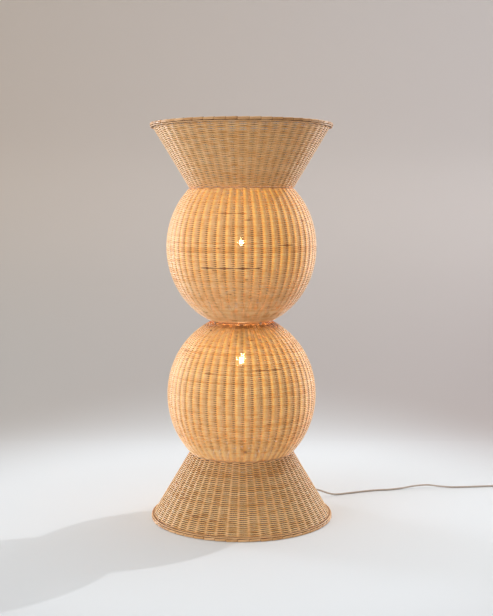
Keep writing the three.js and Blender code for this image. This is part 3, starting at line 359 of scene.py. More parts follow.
top_share = (TOP_HOOP_HEIGHT - UPPER_NECK) / (TOP - UPPER_NECK)
for title, node_name, radius, height in (
        ("foot_hoop", "base_ring", FOOT_HOOP_RADIUS, FOOT_HOOP_HEIGHT),
        ("lower_neck_hoop", "lower_neck_ring", NECK_RADIUS - HOOP_DEPTH, LOWER_NECK),
        ("upper_neck_hoop", "upper_neck_ring", NECK_RADIUS - HOOP_DEPTH, UPPER_NECK),
        ("top_hoop", "top_ring", float(funnel_face(top_share, HOOP_DEPTH)[0]), TOP_HOOP_HEIGHT),
        ("waist_hoop", "waist_ring", WAIST_RADIUS - HOOP_DEPTH, WAIST)):
    ring = skin(title, "lamp", hoop(radius, height, HOOP_WIRE), closed=True)
    coat(ring, lacquer, "frame_steel", node_name)
coat(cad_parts["waist_spider"], lacquer, "frame_steel")

# Stem: a threaded tube of zinc plated steel that ties both lampholders to the
# spider's hub. Two hexagon nuts clamp it there.
STEM_PITCH = 0.001
STEM_THREAD_DEPTH = 0.0002
zinc = finish("zinc plate", (0.62, 0.63, 0.64), (0.40, 0.40, 0.40),
              patch=60, grain=1500, smooth=0.25, rough=0.45, Metallic=0.9)
threaded_zinc = finish("threaded zinc", (0.60, 0.61, 0.62), (0.38, 0.38, 0.38),
                       patch=60, grain=1500, smooth=0.28, rough=0.5, Metallic=0.9)


def apart(tree, vector):
    """The three numbers of a vector."""
    return node(tree, "ShaderNodeSeparateXYZ", {0: vector}).outputs


tree = threaded_zinc.node_tree
height = apart(tree, object_place(tree))["Z"]
ridges = sums(tree, "SINE", sums(tree, "MULTIPLY", height, FULL_TURN / STEM_PITCH))
emboss(tree, ridges, strength=0.6, distance=STEM_THREAD_DEPTH)
coat(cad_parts["stem_tube"], threaded_zinc, "plated_steel")
for nut in ("upper_hub_nut", "lower_hub_nut"):
    coat(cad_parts[nut], zinc, "plated_steel")

# Lampholders: dark phenolic mouldings in two screwed halves, a ceramic block
# with the contacts and a brass shell for the bulb's thread. The lower one
# hangs from the stem and the upper one stands on it.
LOWER_HOLDER = 0.5656
UPPER_HOLDER = 0.7114
phenolic = finish("dark phenolic", (0.035, 0.030, 0.026), (0.075, 0.065, 0.055),
                  patch=90, grain=1200, smooth=0.32, rough=0.6)
glazed = finish("glazed block", (0.80, 0.77, 0.70), (0.66, 0.62, 0.55),
                patch=70, grain=900, smooth=0.15, rough=0.4)
pressed_brass = finish("pressed brass", (0.66, 0.48, 0.18), (0.42, 0.29, 0.12),
                       patch=80, grain=1200, smooth=0.25, rough=0.5, Metallic=0.95)


def soften(profile, reach, closed=False, steps=4):
    """The outline with its corners rounded: each becomes a parabola between a
    point before it and a point after it."""
    points = np.asarray(profile, float)
    back = np.roll(points, 1, axis=0) - points
    ahead = np.roll(points, -1, axis=0) - points
    back_share = np.minimum(reach / np.linalg.norm(back, axis=1), 0.45)[:, None]
    ahead_share = np.minimum(reach / np.linalg.norm(ahead, axis=1), 0.45)[:, None]
    first, last = points + back * back_share, points + ahead * ahead_share
    share = np.linspace(0, 1, steps)[None, :, None]
    curve = ((1 - share) ** 2 * first[:, None] + 2 * share * (1 - share) * points[:, None]
             + share ** 2 * last[:, None]).reshape(-1, 2)
    return curve if closed else np.vstack([points[:1], curve[steps:-steps], points[-1:]])


def lathe(profile, sides=48):
    """Rings of a turned piece: each radius and height of the outline is carried
    round the upright axis."""
    profile = np.asarray(profile, float)
    turn = steps_round(sides)
    radius, height = profile[:, 0, None], profile[:, 1, None] + 0 * turn
    return np.stack([radius * np.cos(turn), radius * np.sin(turn), height], axis=-1)


def hung(points, height):
    """The points turned upside down about the first axis and lifted to a height."""
    return points * np.array([1, -1, -1]) + height * UP


def stood(points, height):
    """The points lifted to a height."""
    return points + height * UP


cap_outline = soften([(0.0053, 0), (0.0126, 0), (0.020, 0.008), (0.020, 0.020), (0.018, 0.020),
                      (0.018, 0.009), (0.0126, 0.002), (0.0053, 0.002)], reach=0.0012, closed=True)
body_outline = soften([
    (0.018, 0.0203), (0.020, 0.0203), (0.020, 0.0235), (0.0194, 0.0241), (0.0194, 0.0251),
    (0.020, 0.0257), (0.020, 0.0283), (0.0194, 0.0289), (0.0194, 0.0299), (0.020, 0.0305),
    (0.020, 0.0383), (0.018, 0.0563), (0.0143, 0.0563), (0.0143, 0.0296), (0.018, 0.0296)],
    reach=0.0006, closed=True)
for level, move, height in (("lower", hung, LOWER_HOLDER), ("upper", stood, UPPER_HOLDER)):
    for part, outline in (("cap", cap_outline), ("body", body_outline)):
        shell = skin(f"{level}_holder_{part}_moulding", "lamp", move(lathe(outline), height),
                     closed=True, sharp=50)
        coat(shell, phenolic, "holder_moulding", f"{level}_holder_{part}")
    coat(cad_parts[f"{level}_contact_block"], glazed, "ceramic")
    coat(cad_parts[f"{level}_screw_shell"], pressed_brass, "brass")

# Bulbs: pear-shaped clear glass on a threaded zinc cap, with four lit filament
# sticks on a glass stem. Each screws into its holder and turns there.
BULB_SEAT = 0.0326
BULB_SIDES = 64
CAP_RADIUS = 0.0129
THREAD_LOW, THREAD_HIGH = 0.007, 0.024
THREAD_PITCH = 0.0036
THREAD_RISE = 0.026
THREAD_STEPS = 52
THREAD_FADE = 0.002
NECK_OF_GLASS = 0.0118
GLASS_FOOT = 0.0093
BALL_RADIUS = 0.030
BALL_HEIGHT = 0.075
GLASS_THICK = 0.001
STICK_RADIUS = 0.0009

cap_foot = soften([(0.0045, 0), (0.0088, 0.003), (CAP_RADIUS, 0.006)], reach=0.001)
thread_height = np.linspace(THREAD_LOW, THREAD_HIGH, THREAD_STEPS)
cap_side = np.stack([np.full(THREAD_STEPS, CAP_RADIUS), thread_height], axis=1)
cap_lip = np.array([(0.0128, 0.026), (0.0121, 0.026), (0.0121, 0.009)])
cap_rings = lathe(np.vstack([cap_foot, cap_side, cap_lip]), BULB_SIDES)
ridge = np.cos(FULL_TURN * thread_height[:, None] / THREAD_PITCH - steps_round(BULB_SIDES))
to_end = np.minimum(thread_height - THREAD_LOW, THREAD_HIGH - thread_height)
fade = np.clip(to_end / THREAD_FADE, 0, 1)[:, None]
cap_rings[len(cap_foot):-len(cap_lip), :, :2] *= (1 + THREAD_RISE * ridge * fade)[..., None]


def pear(depth):
    """One side of the glass from its neck to the top, moved in by a depth: a
    straight neck, a flare that is a cubic curve of four handles, and a ball."""
    share = np.linspace(0, 1, 10)[:, None]
    flare = ((1 - share) ** 3 * np.array([NECK_OF_GLASS, 0.026])
             + 3 * share * (1 - share) ** 2 * np.array([NECK_OF_GLASS, 0.041])
             + 3 * share ** 2 * (1 - share) * np.array([0.0165, 0.0463])
             + share ** 3 * np.array([0.02457, 0.0578]))
    angle = np.linspace(math.radians(-35), math.radians(89), 22)[1:]
    ball = np.stack([BALL_RADIUS * np.cos(angle), BALL_HEIGHT + BALL_RADIUS * np.sin(angle)], axis=1)
    side = np.vstack([[(NECK_OF_GLASS, GLASS_FOOT)], flare, ball])
    slope = unit(np.gradient(side, axis=0))
    return side + depth * np.stack([-slope[:, 1], slope[:, 0]], axis=1)


# The glass is seen mostly at its edge, and its surface is a little smeared
clear_glass, tree, shader = blank("clear glass")
edge = node(tree, "ShaderNodeLayerWeight", {"Blend": 0.35}).outputs["Facing"]
smear = noise(tree, object_place(tree), scale=60.0)
feed(tree, shader, {
    "Base Color": (0.95, 0.93, 0.88, 1), "IOR": 1.5, "Transmission Weight": 1.0,
    "Roughness": sums(tree, "MULTIPLY_ADD", smear, 0.08, 0.03),
    "Alpha": sums(tree, "MULTIPLY_ADD", sums(tree, "POWER", edge, 2.5), 0.55, 0.07)})

lit, tree, shader = blank("lit filament")
phosphor = noise(tree, object_place(tree), scale=900.0)
warm = blend_colour(tree, phosphor, (1.0, 0.66, 0.30, 1), (1.0, 0.78, 0.45, 1))
feed(tree, shader, {"Base Color": warm, "Emission Color": warm, "Emission Strength": 40})
lit.cycles.emission_sampling = "NONE"

glass_rings = lathe(np.vstack([pear(GLASS_THICK)[::-1], pear(0)]), BULB_SIDES)
stem_outline = soften([(0.0103, GLASS_FOOT), (0.0103, 0.0113), (0.0035, 0.0135),
                       (0.0035, 0.0463)], reach=0.002)
stick_turn = steps_round(4)
stick_foot, stick_head = (
    np.stack([radius * np.cos(stick_turn), radius * np.sin(stick_turn), 0 * stick_turn + height], 1)
    for radius, height in ((0.0071, 0.0475), (0.0036, 0.0845)))
stick_share = np.linspace(0, 1, 12)[None, :, None]
stick_path = stick_foot[:, None] + stick_share * (stick_head - stick_foot)[:, None]
stick_rings = np.stack([round_wire(path, STICK_RADIUS, sides=8, aside=(0, 1, 0.2))
                        for path in stick_path])
plate_rings = np.stack([
    lathe(soften([(radius - 0.0006, low), (radius, low), (radius, low + 0.001),
                  (radius - 0.0006, low + 0.001)], reach=0.0002), sides=24)
    for radius, low in ((0.008, 0.047), (0.0045, 0.084))])
for bulb, move, height in (("lower_bulb", hung, LOWER_HOLDER - BULB_SEAT),
                           ("upper_bulb", stood, UPPER_HOLDER + BULB_SEAT)):
    for title, node_name, rings, material, slot_name in (
            ("threaded_cap", "cap", cap_rings, zinc, "plated_steel"),
            ("blown_glass", "glass", glass_rings, clear_glass, "bulb_glass"),
            ("pressed_stem", "stem", lathe(stem_outline, sides=24), clear_glass, "bulb_glass"),
            ("sticks", "filament", stick_rings, lit, "filament"),
            ("plates", "filament", plate_rings, zinc, "plated_steel")):
        part = skin(f"{bulb}_{title}", bulb, move(rings, height), sharp=50)
        coat(part, material, slot_name, f"{bulb}_{node_name}")

# Lead inside: a textile covered lead from the hanging lampholder's side down
# beside the first upright. Four saddle clips hold it to the wire, and a rubber
# sleeve guards it where it goes out through the skirt.
CORD = 0.0055
LEAD_ASIDE = 0.00605
LEAD_DEPTH = 0.01005
HOLDER_ENTRY = 0.016
EXIT_OUT = 0.24926
EXIT_ASIDE = 0.0093
EXIT_HEIGHT = 0.030
STRAIGHT_IN, STRAIGHT_OUT = 0.017, 0.024
BRAID_PITCH = 0.0042
BRAID_STRANDS = 6
textile = finish("braided textile", (0.70, 0.59, 0.52), (0.52, 0.43, 0.37),
                 patch=300, grain=2500, smooth=0.75, rough=0.9)
rubber = finish("moulded rubber", (0.27, 0.235, 0.20), (0.38, 0.34, 0.30),
                patch=120, grain=1500, smooth=0.5, rough=0.8)
strap = finish("nylon strap", (0.17, 0.14, 0.12), (0.26, 0.22, 0.19),
               patch=200, grain=3000, smooth=0.6, rough=0.85)


def lay_place(tree):
    """The place on a strand's map: metres along it and the share round it."""
    return node(tree, "ShaderNodeUVMap", uv_map="lay").outputs[0]


# The braid is the higher of two waves that run round the lead both ways
tree = textile.node_tree
lay = apart(tree, lay_place(tree))
along = sums(tree, "MULTIPLY", lay["X"], FULL_TURN / BRAID_PITCH)
around = sums(tree, "MULTIPLY", lay["Y"], FULL_TURN * BRAID_STRANDS)
strands = [sums(tree, "SINE", sums(tree, way, along, around)) for way in ("ADD", "SUBTRACT")]
emboss(tree, sums(tree, "MAXIMUM", *strands), strength=0.7, distance=0.0004)

join_radius, join_height, _ = map(float, lower_globe_face(0.9, LEAD_DEPTH))
entry_height = LOWER_HOLDER - 0.014
span_out = HOLDER_ENTRY + np.array([0, 0.16, 0.45, 0.8]) * (join_radius - HOLDER_ENTRY)
span_aside = np.array([0, 0, 0.3, 0.9]) * LEAD_ASIDE
span_height = entry_height + np.array([0, 0.06, 0.6, 1.1]) * (join_height - entry_height)
globe_radius, globe_height, _ = lower_globe_face(np.linspace(0.9, 0.03, 16), LEAD_DEPTH)
skirt_radius, skirt_height, _ = skirt_face(np.linspace(0.97, 0.26, 8), LEAD_DEPTH)
before_exit = EXIT_OUT - STRAIGHT_IN
exit_out = np.array([0.5 * (skirt_radius[-1] + before_exit), before_exit, EXIT_OUT,
                     EXIT_OUT + STRAIGHT_OUT])
inner_path = smooth_path(np.vstack([
    in_frame(span_out, span_aside, span_height),
    in_frame(globe_radius, LEAD_ASIDE, globe_height),
    in_frame(skirt_radius, LEAD_ASIDE, skirt_height),
    in_frame(exit_out, EXIT_ASIDE, np.array([0.036, EXIT_HEIGHT, EXIT_HEIGHT, EXIT_HEIGHT]))]),
                         spacing=0.006)
inner_rings = round_wire(inner_path, CORD / 2, sides=10, aside=sideward)
inner_lead = skin("inner_lead", "lamp", inner_rings, sharp=180)
coat(inner_lead, textile, "flex", "inside_lead")
for number in range(4):
    coat(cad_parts[f"lead_clip_{number + 1}"], strap, "strap")


def laid(points, ahead, up, origin):
    """The points turned so that their upright axis lies along one direction and
    their first axis along another, then moved to a place."""
    ahead, up = np.asarray(ahead, float), np.asarray(up, float)
    return points @ np.stack([up, np.cross(ahead, up), ahead]) + np.asarray(origin, float)


def ribbed(low, high, length, ribs, depth):
    """A tapered outline with ribs: the radius runs evenly from one end to the
    other, less a groove that follows a wave."""
    share = np.linspace(0, 1, ribs * 8 + 1)
    groove = depth * (0.5 - 0.5 * np.cos(FULL_TURN * ribs * share))
    return np.stack([low + (high - low) * share - groove, length * share], axis=1)


sleeve_outline = np.vstack([[(0.0031, -0.010), (0.0055, -0.010), (0.006, -0.0095), (0.006, 0.007)],
                            ribbed(0.006, 0.0042, length=0.016, ribs=5, depth=0.0006)
                            + np.array([0, 0.0075]),
                            [(0.0038, 0.024), (0.0031, 0.024)]])
sleeve_place = in_frame(EXIT_OUT, EXIT_ASIDE, EXIT_HEIGHT)
sleeve_rings = laid(lathe(sleeve_outline, sides=32), outward, UP, sleeve_place)
sleeve = skin("lead_sleeve", "lamp", sleeve_rings, closed=True, sharp=50)
coat(sleeve, rubber, "rubber", "exit_sleeve")

# Weave: round cane weavers go in front of one stake and behind the next, row
# on row, over 52 upright stakes. The skirt and funnel are cones and the globes
# are woven in two halves. The stakes are cut and tucked in at the creases.
STAKES = 52
STAKE_STEP = FULL_TURN / STAKES
FIRST_STAKE = FRAME_TURN - 18 * STAKE_STEP
PLACES_A_STAKE = 4
STAKE_RINGS = 44
STAKE_SIDES = 6
ROW_PITCH = 0.0027
WEAVER_DEEP = 0.00115
WEAVER_HIGH = 0.00170
WEAVER_SIDES = 5
WANDER = 0.00007
WANDER_WAVES = (3, 8, 17)
# The stakes stand at this depth under the wall's outer face
MIDDLE = 0.0034
# Half the angle of a loose place, and how hard its rows are pushed apart
LOOSE_SIDE = 0.055
LOOSE_PUSH = 0.55
# Tones run from 0, pale, to 1, dark
CANES_A_ROW = 3
CANE_TONE = 0.60
JOINT_TONE = 0.85
JOINT_CHANCE = 0.12
JOINT_SHORT, JOINT_LONGER = 0.006, 0.012
# The stakes' tone is a random tone plus a dark part that is painted shade
STAKE_TONE_AND_SHADE = 0.35
# Painted shade on the lower globe's rows just below the waist, under the upper globe
WAIST_PAINTED_SHADE = 0.55
WAIST_SHADE_FADES = (0.003, 0.026)
# Painted shade is full at a share of the stand that rises with the share where it begins
SHADE_FULL, SHADE_FULL_RISE = 0.715, 0.35
# Painted glow for light through the wall: a part that comes everywhere, more on
# one side of each stake and less on its other side, and dimmer where no bulb is near
THROUGH, THROUGH_BESIDE, THROUGH_SHADED = 0.30, 0.90, 0.15
DIM_LIGHT = 0.20
# The share of a bulb's painted glow that a painted shadow of its holder takes,
# and the slants toward the holder between which that begins
HOLDER_SHADE = 0.9
HOLDER_SLANTS = (0.1, 0.8)
row_turn = (FIRST_STAKE + np.arange(PLACES_A_STAKE * STAKES) * STAKE_STEP / PLACES_A_STAKE)[None]


def swell(value, low, high):
    """Zero below the first value, one above the second, and a smooth S between."""
    share = np.clip((value - low) / (high - low), 0, 1)
    return share * share * (3 - 2 * share)


def row_shares(face, low, high):
    """Shares of the way up a wall at which rows lie one pitch apart along it."""
    fine = np.linspace(low, high, 3001)
    radius, height, _ = face(fine, MIDDLE)
    length = np.concatenate([[0], np.cumsum(np.hypot(np.diff(radius), np.diff(height)))])
    rows = round(length[-1] / ROW_PITCH)
    return np.interp((np.arange(rows) + 0.5) * length[-1] / rows, length, fine)


# Above the waist each pair of stakes parts at a height of its own. The rows' wave
# changes just round it. The stakes touch below it and stand free above it.
PAIRS_PART, PAIRS_DIFFER = 0.612, 0.012
WAVE_CHANGE = 0.010
STAKES_TOUCH, STAKES_FREE = 0.012, 0.030
CALM = 0.25
CALM_LOW, CALM_HIGH = WAIST + 0.012, WAIST + 0.019
pair_height = PAIRS_PART + PAIRS_DIFFER * np.random.default_rng(5).random(STAKES // 2)


def pair_share(turn, height):
    """How far two neighbouring stakes have come together at a turn and height:
    none above, all at the foot, and each pair at a height of its own."""
    pair = np.floor((turn - FIRST_STAKE) / (2 * STAKE_STEP) + 0.25).astype(int) % (STAKES // 2)
    return 1 - swell(height, pair_height[pair] - WAVE_CHANGE, pair_height[pair] + WAVE_CHANGE)


def paired_wave(wave, height):
    """The wave of rows over stakes that come together in pairs: it turns into
    one with half as many waves, and is nearly flat next to the waist."""
    together = pair_share(row_turn, height)
    slow = np.cos(STAKES / 4 * (row_turn - FIRST_STAKE - STAKE_STEP / 2))
    calm = CALM + (1 - CALM) * swell(height, CALM_LOW, CALM_HIGH)
    return ((1 - together) * wave + together * slow) * calm


def loosened(height, level, reach):
    """How far rows are pushed away from a loose place in front: the distance to
    its level times a bell curve, which fades to both sides as another one."""
    off = (height - level) / reach
    aside = (row_turn + math.pi / 2 + math.pi) % FULL_TURN - math.pi
    near = np.exp(-(aside / LOOSE_SIDE) ** 2)
    return LOOSE_PUSH * reach * near * off * np.exp(-off ** 2 / 2)


def cane_tones(maker, radius):
    """The shade of each row along its turn: a row is three canes, each with a
    tone of its own, and here and there it shows a short dark joint."""
    rows = len(radius)
    past_first = (row_turn - FIRST_STAKE) % FULL_TURN
    ends = np.sort(maker.random((rows, CANES_A_ROW)), axis=1) * FULL_TURN
    which = (past_first[..., None] > ends[:, None]).sum(axis=-1) % CANES_A_ROW
    tone = np.take_along_axis(CANE_TONE * maker.beta(1.6, 3.4, (rows, CANES_A_ROW)), which, axis=1)
    joints = FULL_TURN * maker.random((rows, 2))
    wide = (JOINT_SHORT + JOINT_LONGER * maker.random((rows, 2))) / radius
    wide = wide * (maker.random((rows, 2)) < JOINT_CHANCE)
    away = np.abs((past_first[..., None] - joints[:, None] + math.pi) % FULL_TURN - math.pi)
    return np.maximum(tone, JOINT_TONE * (away < wide[:, None] / 2).any(axis=-1))


def bulb_glow(radius, height, slope, bulb):
    """Painted glow for the light that a bulb sends through the wall: it falls with
    the square of the distance and with the slant, and a painted shadow of the
    holder dims what lies behind it."""
    gap = height - bulb
    reach = np.hypot(radius, gap)
    facing = (radius * np.cos(slope) + gap * np.sin(slope)) / reach
    toward_holder = gap / reach if bulb < WAIST else -gap / reach
    shaded = 1 - HOLDER_SHADE * swell(toward_holder, *HOLDER_SLANTS)
    return facing * shaded * (GLOBE_RADIUS / reach) ** 2


def weavers(name, face, shares, first_row, seed, stand, dip,
            bulb=None, paired=False, marks=(), loose=None):
    """Rows of cane: each is a ring that stands off the wall's middle by a cosine
    of the turn, whose sign changes from row to row, so it passes in front of
    one stake and behind the next. The stand is the most it does so. Where it
    lies further behind than the dip, a share of the stand, painted shade begins.
    Every row wanders a little up and down. A mark is a dark length, given by
    its two ends in degrees, its level and its shade."""
    rows = len(shares)
    maker = np.random.default_rng(seed)
    radius, height, slope = (value[:, None] for value in face(shares, MIDDLE))
    sign = np.where((first_row + np.arange(rows)) % 2 == 0, 1.0, -1.0)[:, None]
    wave = np.cos(STAKES / 2 * (row_turn - FIRST_STAKE))
    if paired:
        wave = paired_wave(wave, height)
    phase = FULL_TURN * maker.random((3, rows, 1))
    wander = WANDER * sum(np.sin(count * row_turn + phase[index])
                          for index, count in enumerate(WANDER_WAVES))
    if loose is not None:
        wander = wander + loosened(height, *loose)
    off = stand * sign * wave
    # Painted shade where the row goes behind a stake; it also dims the painted glow
    recess = swell(-sign * wave, dip, SHADE_FULL + SHADE_FULL_RISE * dip)

    out = radius + off * np.cos(slope) - wander * np.sin(slope)
    up = height + off * np.sin(slope) + wander * np.cos(slope)
    lean = np.gradient(off, row_turn[0], axis=1) / radius
    ray = np.stack([np.cos(row_turn), np.sin(row_turn), 0 * row_turn], -1)
    ahead = np.stack([-np.sin(row_turn), np.cos(row_turn), 0 * row_turn], -1)
    away = np.cos(slope)[..., None] * ray + np.sin(slope)[..., None] * UP
    down = np.sin(slope)[..., None] * ray - np.cos(slope)[..., None] * UP
    front = unit(away - lean[..., None] * ahead)
    centre = out[..., None] * ray + up[..., None] * UP
    side = steps_round(WEAVER_SIDES, shift=0.5)[:, None]
    rings = (centre[:, :, None] + WEAVER_DEEP * np.cos(side) * front[:, :, None]
             + WEAVER_HIGH * np.sin(side) * down[:, :, None])

    tone = cane_tones(maker, radius)
    # Painted shade on the rows just below the waist
    near_waist = 1 - swell(np.abs(height - WAIST), *WAIST_SHADE_FADES)
    tone = tone + WAIST_PAINTED_SHADE * near_waist * (height < WAIST)
    for first, last, level, dark in marks:
        row = int(np.abs(height[:, 0] - level).argmin())
        inside = (row_turn[0] - math.radians(first)) % FULL_TURN < math.radians(last - first)
        tone[row] = np.where(inside, dark, tone[row])
    # Painted glow: emission that stands in for bulb light coming through the weave
    beside = np.sin(STAKES * (row_turn - FIRST_STAKE))
    through = THROUGH + THROUGH_BESIDE * np.clip(beside, 0, 1)
    if bulb is None:
        glow = DIM_LIGHT * through
    else:
        through = through - THROUGH_SHADED * np.clip(-beside, 0, 1)
        glow = bulb_glow(radius, height, slope, bulb) * through
    return skin(name, "lamp", rings, closed=True, start=20 * maker.random(rows), sharp=180,
                tone=tone, glow=glow * (1 - recess), recess=recess)


def stakes(name, face, low, high, seed, wide, paired=False):
    """Upright canes in the middle of the wall, evenly round it. Where they are
    paired, the two of a pair come together at the foot."""
    maker = np.random.default_rng(seed)
    count = max(int((high - low) * STAKE_RINGS), 8)
    radius, height, slope = face(np.linspace(low, high, count), MIDDLE)
    number = np.arange(STAKES)[:, None]
    turn = FIRST_STAKE + number * STAKE_STEP + 0 * height
    if paired:
        toward = np.where(number % 2 == 0, 1.0, -1.0)
        own_height = pair_height[number // 2]
        together = 1 - swell(height, own_height - STAKES_TOUCH, own_height + STAKES_FREE)
        turn = turn + toward * together * (STAKE_STEP / 2 - wide / radius)
    ray = np.stack([np.cos(turn), np.sin(turn), 0 * turn], -1)
    across = np.stack([-np.sin(turn), np.cos(turn), 0 * turn], -1)
    away = np.cos(slope)[:, None] * ray + np.sin(slope)[:, None] * UP
    centre = radius[:, None] * ray + height[:, None] * UP
    side = steps_round(STAKE_SIDES)[:, None]
    rings = centre[:, :, None] + wide * (
        np.cos(side) * away[:, :, None] + np.sin(side) * across[:, :, None])
    tone = STAKE_TONE_AND_SHADE + STAKE_TONE_AND_SHADE * maker.random((STAKES, 1))
    return skin(name, "lamp", rings, start=10 * maker.random(STAKES), sharp=180,
                tone=tone, glow=0.0, recess=0.0)


# Cane shows fine fibres along its length, a slow drift of colour, dark joints,
# and painted brown shade on its outer side where it goes behind a stake
SHADE_SIDE = 0.63
cane_grain, grain_in, grain_out = effect(
    "cane grain",
    {"Pale": (0.8, 0.6, 0.4, 1), "Warm": (0.6, 0.4, 0.2, 1), "Deep": (0.4, 0.2, 0.1, 1),
     "Dark": (0.1, 0.05, 0.02, 1), "Fibre": 0.3, "Glow": (1.0, 0.5, 0.15, 1)},
    {"Colour": "Color", "Roughness": "Float", "Height": "Float", "Light": "Color"})
lay = lay_place(cane_grain)
stretched = [node(cane_grain, "ShaderNodeMapping", {"Vector": lay, "Scale": scale}).outputs[0]
             for scale in ((90, 9, 1), (7, 0.4, 1))]
fine = noise(cane_grain, stretched[0], scale=1.0, detail=3.0)
drift = noise(cane_grain, stretched[1], scale=1.0)
tone, glow, recess = (
    node(cane_grain, "ShaderNodeAttribute", attribute_name=label).outputs["Fac"]
    for label in ("tone", "glow", "recess"))
# Painted shade: the outer side of cane in a recess turns dark and rough
outer = sums(cane_grain, "MULTIPLY_ADD", apart(cane_grain, lay)["Y"], FULL_TURN, SHADE_SIDE)
outer = sums(cane_grain, "MULTIPLY_ADD", sums(cane_grain, "COSINE", outer), 1.5, 0.6, clamp=True)
shade_in_recess = sums(cane_grain, "MULTIPLY", recess, outer)
shade = sway(cane_grain, fine, grain_in["Fibre"], tone)
shade = sway(cane_grain, drift, 0.35, shade)
shade = sway(cane_grain, noise(cane_grain, object_place(cane_grain), 45.0), 0.7, shade, clamp=True)
colour = grain_in["Pale"]
for share, next_colour in (
        (sums(cane_grain, "MULTIPLY", shade, 2.2, clamp=True), grain_in["Warm"]),
        (sums(cane_grain, "MULTIPLY_ADD", shade, 2.6, -1.2, clamp=True), grain_in["Deep"]),
        (sums(cane_grain, "MULTIPLY_ADD", tone, 5.0, -4.0, clamp=True), grain_in["Dark"]),
        (shade_in_recess, grain_in["Dark"])):
    colour = blend_colour(cane_grain, share, colour, next_colour)
rough = sums(cane_grain, "MULTIPLY_ADD", fine, 0.3, 0.38)
lighted = node(cane_grain, "ShaderNodeMix", {0: 1.0, 6: colour, 7: grain_in["Glow"]},
               data_type="RGBA", blend_type="MULTIPLY").outputs[2]
feed(cane_grain, grain_out, {
    "Colour": colour,
    "Roughness": sums(cane_grain, "MULTIPLY_ADD", shade_in_recess, 0.5, rough, clamp=True),
    "Height": fine,
    "Light": blend_colour(cane_grain, glow, (0, 0, 0, 1), lighted)})


def cane(name, pale, warm, deep, glow_strength):
    """Cane of three tones from pale to deep, with a painted glow in its emission
    that stands in for light from the bulbs shining through."""
    material, tree, shader = blank(name)
    grain = node(tree, "ShaderNodeGroup", {
        "Pale": (*pale, 1), "Warm": (*warm, 1), "Deep": (*deep, 1), "Dark": (0.115, 0.032, 0.006, 1),
        "Fibre": 0.5, "Glow": (1.0, 0.80, 0.15, 1)}, node_tree=cane_grain).outputs
    feed(tree, shader, {
        "Base Color": grain["Colour"], "Roughness": grain["Roughness"],
        "Emission Color": grain["Light"], "Emission Strength": glow_strength,
        "Coat Weight": 0.4, "Coat Roughness": 0.33})
    emboss(tree, grain["Height"], strength=0.3, distance=0.0002)
    material.cycles.emission_sampling = "NONE"
    return material


weaver_cane = cane("weaver cane", (0.94, 0.62, 0.31), (0.80, 0.415, 0.135), (0.45, 0.175, 0.04),
                   glow_strength=0.45)
# Painted shade: stake cane is far darker than weaver cane, for the shade between the rows
shaded_stake_cane = cane("shaded stake cane", (0.34, 0.18, 0.075), (0.26, 0.13, 0.05), (0.17, 0.08, 0.03),
                  glow_strength=0.0)

LOWER_BULB = 0.467
UPPER_BULB = 0.810
EDGE_SHARE = 0.004
LOWER_SPLIT = 0.42
UPPER_SPLIT = 0.58
lower_rows = row_shares(lower_globe_face, EDGE_SHARE, 1 - EDGE_SHARE)
upper_rows = row_shares(upper_globe_face, EDGE_SHARE, 1 - EDGE_SHARE)
lower_cut = int((lower_rows < LOWER_SPLIT).sum())
upper_cut = int((upper_rows < UPPER_SPLIT).sum())
lower_weave = {"stand": 0.0014, "dip": 0.67, "bulb": LOWER_BULB}
upper_weave = {"stand": 0.0014, "dip": 0.67, "bulb": UPPER_BULB}
for number, (title, face, shares, first_row, weave) in enumerate((
        ("skirt", skirt_face, row_shares(skirt_face, 0.062, 1 - EDGE_SHARE), 0,
         {"stand": 0.0022, "dip": 0.08,
          "marks": ((-128, -118, 0.052, 0.75), (-112, -96, 0.047, 0.7))}),
        ("lower_globe_foot", lower_globe_face, lower_rows[:lower_cut], 0,
         {**lower_weave, "marks": ((-87, -84, 0.229, 0.9), (-88, -83, 0.232, 0.85))}),
        ("lower_globe_crown", lower_globe_face, lower_rows[lower_cut:], lower_cut,
         {**lower_weave, "marks": ((-82, -54, 0.461, 0.85), (-120, -108, 0.452, 0.7)),
          "loose": (0.4890, 0.014)}),
        ("upper_globe_foot", upper_globe_face, upper_rows[:upper_cut], 0,
         {**upper_weave, "marks": ((-122, -75, 0.744, 0.92), (-88, -84, 0.714, 0.85)),
          "paired": True}),
        ("upper_globe_crown", upper_globe_face, upper_rows[upper_cut:], upper_cut,
         {**upper_weave, "marks": ((-62, -48, 0.806, 0.85), (-108, -86, 0.893, 0.8)),
          "loose": (0.8172, 0.010)}),
        ("funnel", funnel_face, row_shares(funnel_face, EDGE_SHARE, 0.934), 1,
         {"stand": 0.0016, "dip": 0.52}))):
    rows = weavers(f"{title}_weavers", face, shares, first_row, seed=11 + number, **weave)
    coat(rows, weaver_cane, "cane", f"{title}_weave")
    low, high = float(shares[0]) - EDGE_SHARE, float(shares[-1]) + EDGE_SHARE
    rods = stakes(f"{title}_stakes", face, low, high, seed=31 + number, wide=weave["stand"] / 2,
                  paired=weave.get("paired", False))
    coat(rods, shaded_stake_cane, "cane", f"{title}_weave")

# Borders: at the foot and the rim each stake is bent over in a pair of canes
# that lies outside for one step and is tucked in beside the next pair. Hoops
# of cane run beside the pairs and in the three creases, and a core inside. The
# core, the crease hoops and the pairs where they go in are darkened as painted
# shade.
BORDER_CANE = 0.0018
BORDER_WIDE = 0.0065
BORDER_HIGH = 0.006
TUCK_DEPTH = 0.0042
PAIR_DRIFT = 0.0012
PAIR_OFFSET = 0.0019
PAIR_UNEVEN = 0.0003
# How far a pair reaches to each side, and where it goes in, in steps of a stake
PAIR_REACH, PAIR_RINGS = 0.52, 27
PAIR_TUCKS = (0.43, 0.51)
# Each cane of a pair lies this share of its radius off the pair's middle
PAIR_APART = 0.94
HOOP_RIPPLE, HOOP_BEND, HOOP_BENDS = 0.0002, 0.00015, 7
